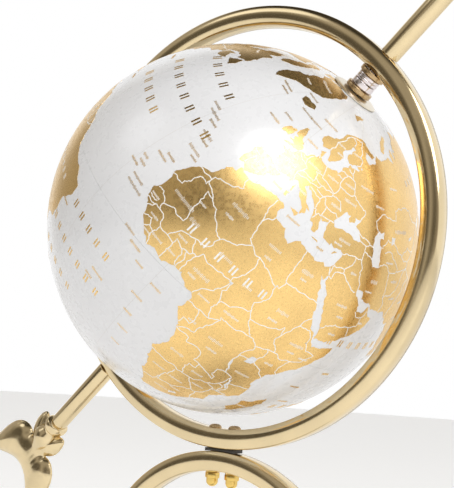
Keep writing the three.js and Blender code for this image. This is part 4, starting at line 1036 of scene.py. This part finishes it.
class GLOBE_OT_pole_fittings(bpy.types.Operator):
    """Discs, bosses, spacers and nuts between the globe and the ring, at both poles"""
    bl_idname = "globe.pole_fittings"
    bl_label = "Pole fittings"

    def execute(self, context):
        for pole, flip in (("north", Matrix()), ("south", Matrix.Rotation(math.pi, 4, "X"))):
            self.add_disc(pole, flip)
            # The pole bosses take the darker brass: painted shade for their dark reflections.
            self.add_sleeve(pole + "_pole_boss", "bronze", "globe", "yellow_brass", 0.5 * MM, 0)
        self.add_sleeve("north_short_spacer", "steel", "stand", "bright_steel", 0.5 * MM, 0)
        self.add_sleeve("north_long_spacer", "steel", "stand", "bright_steel", 0.5 * MM, 1)
        # The lock nut takes the same darker brass: painted shade for dark reflections.
        self.add_sleeve("north_lock_nut", "bronze", "stand", "bright_steel", 0.35 * MM, 0)
        self.add_sleeve("south_thrust_washer", "steel", "stand", "bright_steel", 0.2 * MM, 0)
        paint("north_axle_stud", "steel")
        paint("south_axle_stud", "steel")
        return {"FINISHED"}

    @staticmethod
    def add_disc(pole, flip):
        """A thin cap that lies on the globe, with a rolled rim."""
        bore, outer = radii(pole + "_pole_disc")
        wall = 0.9 * MM
        rows = 8
        low, high = [], []
        for row in range(rows + 1):
            radius = bore + (outer - bore) * row / rows
            level = math.sqrt(globe_radius ** 2 - radius ** 2) + 0.25 * MM
            low.append((radius, level))
            high.append((radius, level + wall * (0.55 if row == rows else 1.0)))
        profile = low + [(outer, high[-1][1] - 0.1 * MM)] + high[::-1]
        bm = bmesh.new()
        add_turned(bm, profile, 96, globe_place @ flip)
        name = pole + "_pole_disc"
        finish_piece(bm, name + "_fine", "cream", "globe", (name,), 40.0)

    @staticmethod
    def add_sleeve(node, finish, body, slot, edge, grooves):
        bore, outer = radii(node)
        low, high = along_axle(node)
        profile = [(bore, low), (outer, low)]
        for index in range(grooves):
            level = low + (high - low) * (index + 1) / (grooves + 1)
            profile += [(outer, level - 0.25 * MM), (outer - 0.35 * MM, level), (outer, level + 0.25 * MM)]
        profile += [(outer, high), (bore, high)]
        bm = bmesh.new()
        add_turned(bm, rounded(profile, edge), 72, axle_place)
        finish_piece(bm, node + "_fine", finish, body, (node,), 50.0)


def crowned_ring(outer, inner, depth, crown):
    """Section of a ring about Z: flat inner and outer faces, crowned front and back, soft shoulders."""
    half = depth / 2
    middle_radius = (outer + inner) / 2
    reach = (outer - inner) / 2
    shoulder = 0.35 * MM
    rows = 12
    front = [(inner, half - crown - shoulder)]
    for row in range(rows + 1):
        share = -1 + 2 * row / rows
        front.append((middle_radius + share * (reach - 0.2 * MM), half - crown * abs(share) ** 2.2))
    front.append((outer, half - crown - shoulder))
    return front + [(radius, -height) for radius, height in reversed(front)]


class GLOBE_OT_rings(bpy.types.Operator):
    """The meridian ring and the stand ring, and the saddles they rest on"""
    bl_idname = "globe.rings"
    bl_label = "Rings"

    def execute(self, context):
        thickness = ring_radius - radius_inside("meridian_ring", ring_centre)
        crown = 1.6 * MM
        for name, centre, outer, finish in (
            ("meridian_ring", ring_centre, ring_radius, "gilt_ring"),
            ("stand_ring", stand_centre, stand_radius, "gilt_stand"),
        ):
            bm = bmesh.new()
            place = Matrix.Translation(centre) @ ring_turn
            add_turned(bm, crowned_ring(outer, outer - thickness, ring_depth, crown), 288, place)
            finish_piece(bm, name + "_fine", finish, "stand", (name,), 50.0)
        paint("ring_joint_saddle", "dark_shim")
        paint("base_saddle", "gilt_stand")
        return {"FINISHED"}


def radius_inside(node, centre):
    """A ring's inner radius about Y, from the corners on its front and back shoulders."""
    offsets = [vert.co - centre for vert in frame["nodes"][node].data.vertices]
    shoulder = [abs(offset.y) for offset in offsets]
    least = min(math.hypot(offset.x, offset.z) for offset in offsets)
    corners = [math.hypot(offset.x, offset.z) for offset, deep in zip(offsets, shoulder)
               if deep > 0.6 * max(shoulder)]
    return min(corners) if corners else least


class GLOBE_OT_fasteners(bpy.types.Operator):
    """Screws, washers and cap nuts at the ring joint and the base"""
    bl_idname = "globe.fasteners"
    bl_label = "Fasteners"

    def execute(self, context):
        for group, head_up in (("ring_joint", True), ("base", False)):
            for side in ("left", "right"):
                self.add_screw(f"{group}_screw_{side}", head_up)
                self.add_washer(f"{group}_washer_{side}")
                self.add_cap_nut(f"{group}_cap_nut_{side}", head_up)
        return {"FINISHED"}

    @staticmethod
    def upright(node, head_up):
        """Stands a fastener on the middle of its node's box, head up or down."""
        place = Matrix.Translation(middle(node))
        return place if head_up else place @ Matrix.Rotation(math.pi, 4, "X")

    def add_screw(self, node, head_up):
        """A round-headed screw with a socket in its head."""
        size = span(node)
        head = size.x / 2
        half = size.z / 2
        shank = head - 1.5 * MM
        under = half - 2.5 * MM
        socket = 0.42 * head
        rows = 8
        dome = [(head * math.cos(a), under + 0.5 * MM + 2.0 * MM * math.sin(a))
                for a in (math.pi / 2 * row / rows for row in range(rows + 1))]
        crown = [point for point in dome if point[0] > socket]
        profile = [(0.0, -half), (shank - 0.4 * MM, -half), (shank, -half + 0.4 * MM), (shank, under)]
        profile += [(head - 0.2 * MM, under)] + crown
        rim = crown[-1][1]
        profile += [(socket, rim), (socket * 0.92, rim - 1.1 * MM), (0.0, rim - 1.4 * MM)]
        bm = bmesh.new()
        add_turned(bm, profile, 48, self.upright(node, head_up))
        # The screw heads take the darker brass: painted shade for their dark reflections.
        finish_piece(bm, node + "_fine", "bronze", "stand", (node,), 40.0)

    def add_washer(self, node):
        size = span(node)
        half = size.z / 2
        outer = size.x / 2
        bore = outer - 1.6 * MM
        bm = bmesh.new()
        profile = rounded([(bore, -half), (outer, -half), (outer, half), (bore, half)], 0.2 * MM)
        add_turned(bm, profile, 48, self.upright(node, True))
        finish_piece(bm, node + "_fine", "brass", "stand", (node,), 50.0)

    def add_cap_nut(self, node, head_up):
        """A cap nut: a chamfered hexagon under a polished dome."""
        size = span(node)
        half = size.z / 2
        corner = max(size.x, size.y) / 2
        dome = corner * 0.8
        hex_height = 3.2 * MM
        place = self.upright(node, not head_up) @ Matrix.Translation((0, 0, -half))
        bm = bmesh.new()
        bmesh.ops.create_cone(bm, cap_ends=True, cap_tris=False, segments=6, radius1=corner, radius2=corner,
                              depth=hex_height, matrix=Matrix.Translation((0, 0, hex_height / 2)))
        bmesh.ops.bevel(bm, geom=list(bm.edges), offset=0.35 * MM, segments=3, profile=0.5,
                        affect="EDGES", material=-1)
        for vert in bm.verts:
            vert.co = place @ vert.co
        rows = 10
        rise = 2 * half - hex_height
        straight = 0.35 * rise
        profile = [(0.0, hex_height - 0.5 * MM), (dome, hex_height - 0.5 * MM)]
        profile += [(dome * math.cos(a), hex_height + straight + (rise - straight) * math.sin(a))
                    for a in (math.pi / 2 * row / rows for row in range(rows))]
        profile.append((0.0, 2 * half))
        add_turned(bm, profile, 48, place)
        finish_piece(bm, node + "_fine", "brass", "stand", (node,), 40.0)


# The arrow ----------------------------------------------------------------------------

# The tail's upper edge, from the knuckle back to the fork, as shares of the tail's length and half span.
TAIL_EDGE = [
    (0.20, 0.0), (0.10, 0.22), (0.05, 0.42), (0.13, 0.50), (0.25, 0.51), (0.34, 0.43), (0.42, 0.28),
    (0.38, 0.45), (0.40, 0.66), (0.48, 0.85), (0.62, 0.97), (0.80, 1.02), (0.97, 1.02), (1.02, 0.92),
    (0.97, 0.72), (0.88, 0.50), (0.80, 0.25), (0.78, 0.0),
]


class GLOBE_OT_arrow(bpy.types.Operator):
    """The axle drawn as an arrow: two shafts, a ferrule and a head in front, a cast tail behind"""
    bl_idname = "globe.arrow"
    bl_label = "Arrow"

    def execute(self, context):
        for node in ("arrow_front_shaft", "arrow_rear_shaft"):
            self.add_shaft(node)
        self.add_ferrule()
        self.add_head()
        self.add_tail()
        return {"FINISHED"}

    @staticmethod
    def add_shaft(node):
        _, outer = radii(node)
        low, high = along_axle(node)
        profile = [(0.0, low)] + rounded([(0.0, low), (outer, low), (outer, high), (0.0, high)],
                                         0.5 * MM)[1:-1] + [(0.0, high)]
        bm = bmesh.new()
        add_turned(bm, profile, 96, axle_place)
        finish_piece(bm, node + "_fine", "gilt_arrow", "stand", (node,))

    @staticmethod
    def add_ferrule():
        """Turned ferrule with a beaded collar and two rings cut in its neck."""
        node = "arrow_head_ferrule"
        _, outer = radii(node)
        low, high = along_axle(node)
        neck = outer - 1.0 * MM
        mouth = outer - 2.2 * MM
        profile = [(0.0, low), (neck, low), (outer, low + 1.4 * MM), (outer, low + 3.4 * MM),
                   (neck, low + 4.6 * MM)]
        for level in (low + 7.0 * MM, low + 9.5 * MM):
            profile += [(neck, level - 0.5 * MM), (neck - 0.5 * MM, level), (neck, level + 0.5 * MM)]
        profile += [(neck, high - 2.0 * MM), (mouth, high), (0.0, high)]
        bm = bmesh.new()
        add_turned(bm, rounded(profile, 0.6 * MM), 72, axle_place)
        finish_piece(bm, node + "_fine", "gilt_arrow", "stand", (node,), 60.0)

    @staticmethod
    def add_head():
        """A blade with a soft ridge and swept barbs."""
        node = "arrow_head"
        points = axle_points(node)
        half_width = max(abs(point.x) for point in points)
        half_thickness = max(abs(point.y) for point in points)
        tip = max(point.z for point in points)
        barb = min(point.z for point in points)
        root = max(point.z for point in points if abs(point.y) > 0.9 * half_thickness)
        outline = [(0.0, tip), (half_width, barb), (0.3 * half_width, root)]
        outline += [(-x, z) for x, z in outline[:0:-1]]
        bm = bmesh.new()
        heightfield(bm, outline, 1.0 * MM,
                    lambda off: 0.3 * MM + (half_thickness - 0.3 * MM) * min(1.0, off / (7.6 * MM)) ** 0.9)
        finish_piece(bm, node + "_fine", "cast_gilt", "stand", (node,), 28.0)

    @staticmethod
    def add_tail():
        """Cast tail: leaf barbs with soft ridges, that grow out of a turned knuckle on the shaft's end."""
        node = "arrow_tail"
        points = axle_points(node)
        high = max(point.z for point in points)
        size = high - min(point.z for point in points)
        half_span = max(abs(point.x) for point in points)
        knuckle = max(abs(point.y) for point in points)
        _, shaft = radii("arrow_rear_shaft")
        upper = [(y * half_span, high - x * size) for x, y in TAIL_EDGE]
        outline = soften(upper + [(-x, z) for x, z in upper[::-1] if x > 0])
        bm = bmesh.new()
        heightfield(bm, outline, 0.8 * MM,
                    lambda off: 0.3 * MM + 4.4 * MM * (1.0 - math.exp(-off / (3.4 * MM))))
        profile = [(0.0, high), (shaft + 0.3 * MM, high), (shaft + 1.8 * MM, high - 1.0 * MM),
                   (shaft + 2.2 * MM, high - 3.2 * MM), (shaft + 1.5 * MM, high - 5.4 * MM),
                   (shaft + 0.7 * MM, high - 7.2 * MM), (knuckle, high - 12.0 * MM),
                   (knuckle - 0.3 * MM, high - 16.0 * MM), (4.6 * MM, high - 23.0 * MM),
                   (2.2 * MM, high - 29.0 * MM), (0.0, high - 31.0 * MM)]
        add_turned(bm, rounded(profile, 2.4 * MM, 5), 72, axle_place)
        finish_piece(bm, node + "_fine", "cast_gilt", "stand", (node,), 60.0)


def soften(outline, rounds=3):
    """Rounds an outline by cutting its corners again and again."""
    for _ in range(rounds):
        cut = []
        for (ax, az), (bx, bz) in zip(outline, outline[1:] + outline[:1]):
            cut += [(0.75 * ax + 0.25 * bx, 0.75 * az + 0.25 * bz),
                    (0.25 * ax + 0.75 * bx, 0.25 * az + 0.75 * bz)]
        outline = cut
    return outline


def heightfield(bm, outline, cell, rise):
    """A flat outline in the axle's plane, swollen to both sides by a height over each of its points."""
    corners = [Vector((x, 0.0, z)) for x, z in outline]
    fill_loop(bm, corners)
    cut_grid(bm, (0, 2), cell, 0.02 * MM)
    sides = list(zip(corners, corners[1:] + corners[:1]))

    def edge_distance(point):
        best = math.inf
        for start, end in sides:
            near, share = intersect_point_line(point, start, end)
            near = start if share < 0 else end if share > 1 else near
            best = min(best, (point - near).length)
        return best

    heights = {vert: rise(edge_distance(vert.co)) for vert in bm.verts}
    made = bmesh.ops.extrude_face_region(bm, geom=list(bm.faces), use_keep_orig=True)
    back = {item for item in made["geom"] if isinstance(item, bmesh.types.BMVert)}
    flat = {(round(vert.co.x, 8), round(vert.co.z, 8)): level for vert, level in heights.items()}
    for vert in bm.verts:
        level = flat[(round(vert.co.x, 8), round(vert.co.z, 8))]
        vert.co.y = level if vert in back else -level
    for _ in range(3):
        bmesh.ops.smooth_vert(bm, verts=bm.verts, factor=0.5, use_axis_x=False, use_axis_y=True,
                              use_axis_z=False)
    bmesh.ops.recalc_face_normals(bm, faces=bm.faces)
    bmesh.ops.transform(bm, matrix=axle_place, verts=bm.verts)


class GLOBE_OT_base(bpy.types.Operator):
    """Marble block with rounded edges, and the felt under it"""
    bl_idname = "globe.base"
    bl_label = "Base"

    def execute(self, context):
        for node, finish, slot, edge in (("base_block", "marble", "stone", 2.0 * MM),
                                         ("base_pad", "felt", "pad", 0.5 * MM)):
            bm = bmesh.new()
            add_box(bm, span(node), Matrix.Translation(middle(node)), edge, 5)
            finish_piece(bm, node + "_fine", finish, "stand", (node,))
        return {"FINISHED"}


class GLOBE_OT_stage(bpy.types.Operator):
    """Floor, studio light and camera"""
    bl_idname = "globe.stage"
    bl_label = "Stage"

    def execute(self, context):
        options = settings("stage")
        context.scene.view_settings.view_transform = "Standard"
        self.add_floor(options)
        self.add_world()
        self.add_lights()
        self.add_camera(options)
        return {"FINISHED"}

    @staticmethod
    def add_floor(options):
        bm = bmesh.new()
        bmesh.ops.create_circle(bm, cap_ends=True, cap_tris=False, segments=96, radius=5.0)
        material, shader = new_material("pale_floor")
        spot = shader.place(1.0)
        mottle = shader.grain(spot, 5.0, 4.0)
        shade = shader.blend(mottle, tint(tuple(options.floor), 0.98), tuple(options.floor))
        shader.surface(Base_Color=shade, Roughness=0.6 + 0.1 * mottle, Specular_IOR_Level=0.2,
                       Emission_Color=shade, Emission_Strength=options.floor_glow)
        mesh = bpy.data.meshes.new("floor")
        bm.to_mesh(mesh)
        bm.free()
        mesh.materials.append(material)
        floor = bpy.data.objects.new("floor", mesh)
        bpy.context.scene.collection.objects.link(floor)

    @staticmethod
    def add_world():
        """White walls, a darker room in front and overhead, as a small photo studio has."""
        world = bpy.data.worlds.new("studio")
        bpy.context.scene.world = world
        world.use_nodes = True
        shader = Shader(world.node_tree)
        way = shader.add("ShaderNodeTexCoord", output="Generated")

        def dark_patch(azimuth, elevation, inner, outer, depth):
            centre = heading(azimuth, elevation)
            near = shader.along(way, centre)
            return 1.0 - depth * shader.spread(near, math.cos(math.radians(outer)),
                                               math.cos(math.radians(inner)))
        _, _, high = shader.split(way)
        ceiling = 1.0 - 0.9 * shader.spread(high, 0.66, 0.86)
        room = dark_patch(27.0, -6.0, 6.0, 42.0, 0.75)
        corner = dark_patch(-40.0, 8.0, 6.0, 26.0, 0.72)
        ahead = shader.spread(shader.along(way, heading(-40.0, 20.0)), 0.30, 0.60)
        above_floor = shader.spread(high, -0.26, -0.12)
        strip = shader.spread(shader.along(way, heading(-43.0, 44.0)), 0.970, 0.988)
        level = ceiling * room * corner * (1.0 - 0.60 * ahead * above_floor) + 0.9 * strip
        shade = shader.blend(level, (1.0, 0.88, 0.70), (1.0, 1.0, 1.0))
        seen = shader.add("ShaderNodeLightPath", output="Is Camera Ray")
        glow = shader.add("ShaderNodeBackground", None, {"Color": shade, "Strength": 1.08 * level})
        plain = shader.add("ShaderNodeBackground", None, {"Color": (1.0, 1.0, 1.0, 1.0), "Strength": 1.0})
        both = shader.add("ShaderNodeMixShader", None, [seen, glow, plain])
        shader.add("ShaderNodeOutputWorld", None, {"Surface": both})

    @staticmethod
    def add_lights():
        for name, azimuth, elevation, distance, size, power, glossy in (
            ("key", 58.0, 34.0, 0.95, 0.62, 3.6, True),
            ("overhead", 0.0, 89.0, 2.2, 2.0, 11.0, False),
            ("front_fill", -25.0, 15.0, 2.0, 1.5, 6.0, False),
        ):
            way = heading(azimuth, elevation)
            data = bpy.data.lights.new(name, "AREA")
            data.shape = "DISK"
            data.size = size
            data.energy = power
            light = bpy.data.objects.new(name, data)
            light.location = globe_centre + way * distance
            light.rotation_euler = way.to_track_quat("Z", "Y").to_euler()
            light.visible_glossy = glossy
            light.visible_camera = False
            bpy.context.scene.collection.objects.link(light)

    @staticmethod
    def add_camera(options):
        data = bpy.data.cameras.new("camera")
        data.sensor_width = 36.0
        data.lens = options.lens
        data.clip_start = 0.01
        data.clip_end = 20.0
        camera = bpy.data.objects.new("camera", data)
        back = heading(math.degrees(options.look_azimuth), math.degrees(options.look_elevation))
        away = heading(math.degrees(options.camera_azimuth), math.degrees(options.camera_elevation))
        turn = back.to_track_quat("Z", "Y").to_matrix() @ Matrix.Rotation(options.roll, 3, "Z")
        place = ring_centre + away * options.camera_distance
        camera.matrix_world = Matrix.Translation(place) @ turn.to_4x4()
        bpy.context.scene.collection.objects.link(camera)
        bpy.context.scene.camera = camera


def heading(azimuth, elevation):
    """A direction, with azimuth 0 to the front and 90 to +X, in degrees."""
    turn, rise = math.radians(azimuth), math.radians(elevation)
    return Vector((math.sin(turn) * math.cos(rise), -math.cos(turn) * math.cos(rise), math.sin(rise)))


# Add-on -------------------------------------------------------------------------------

OPERATORS = (GLOBE_OT_stage, GLOBE_OT_skin, GLOBE_OT_land, GLOBE_OT_borders, GLOBE_OT_marks,
             GLOBE_OT_pole_fittings, GLOBE_OT_rings, GLOBE_OT_fasteners, GLOBE_OT_arrow, GLOBE_OT_base)
GROUPS = {"metals": GlobeMetals, "print": GlobePrint, "stage": GlobeStage}


class GLOBE_PT_panel(bpy.types.Panel):
    """Settings and pieces of the globe"""
    bl_label = "Arrow Globe"
    bl_idname = "GLOBE_PT_panel"
    bl_space_type = "VIEW_3D"
    bl_region_type = "UI"
    bl_category = "Globe"

    def draw(self, context):
        for name, group in GROUPS.items():
            box = self.layout.box()
            box.label(text=group.__doc__)
            for prop in group.__annotations__:
                box.prop(getattr(context.scene, "globe_" + name), prop)
        for operator in OPERATORS:
            self.layout.operator(operator.bl_idname)


def register():
    for cls in (*GROUPS.values(), *OPERATORS, GLOBE_PT_panel):
        bpy.utils.register_class(cls)
    for name, group in GROUPS.items():
        setattr(bpy.types.Scene, "globe_" + name, bpy.props.PointerProperty(type=group))


def unregister():
    for name in GROUPS:
        delattr(bpy.types.Scene, "globe_" + name)
    for cls in (GLOBE_PT_panel, *reversed(OPERATORS), *reversed(GROUPS.values())):
        bpy.utils.unregister_class(cls)


def main():
    register()
    global print_turn
    print_turn = print_axes()
    add_finishes()
    bpy.ops.globe.stage()
    bpy.ops.globe.skin()
    bpy.ops.globe.land()
    bpy.ops.globe.borders()
    bpy.ops.globe.marks()
    bpy.ops.globe.pole_fittings()
    bpy.ops.globe.rings()
    bpy.ops.globe.fasteners()
    bpy.ops.globe.arrow()
    bpy.ops.globe.base()


if __name__ == "__main__":
    main()
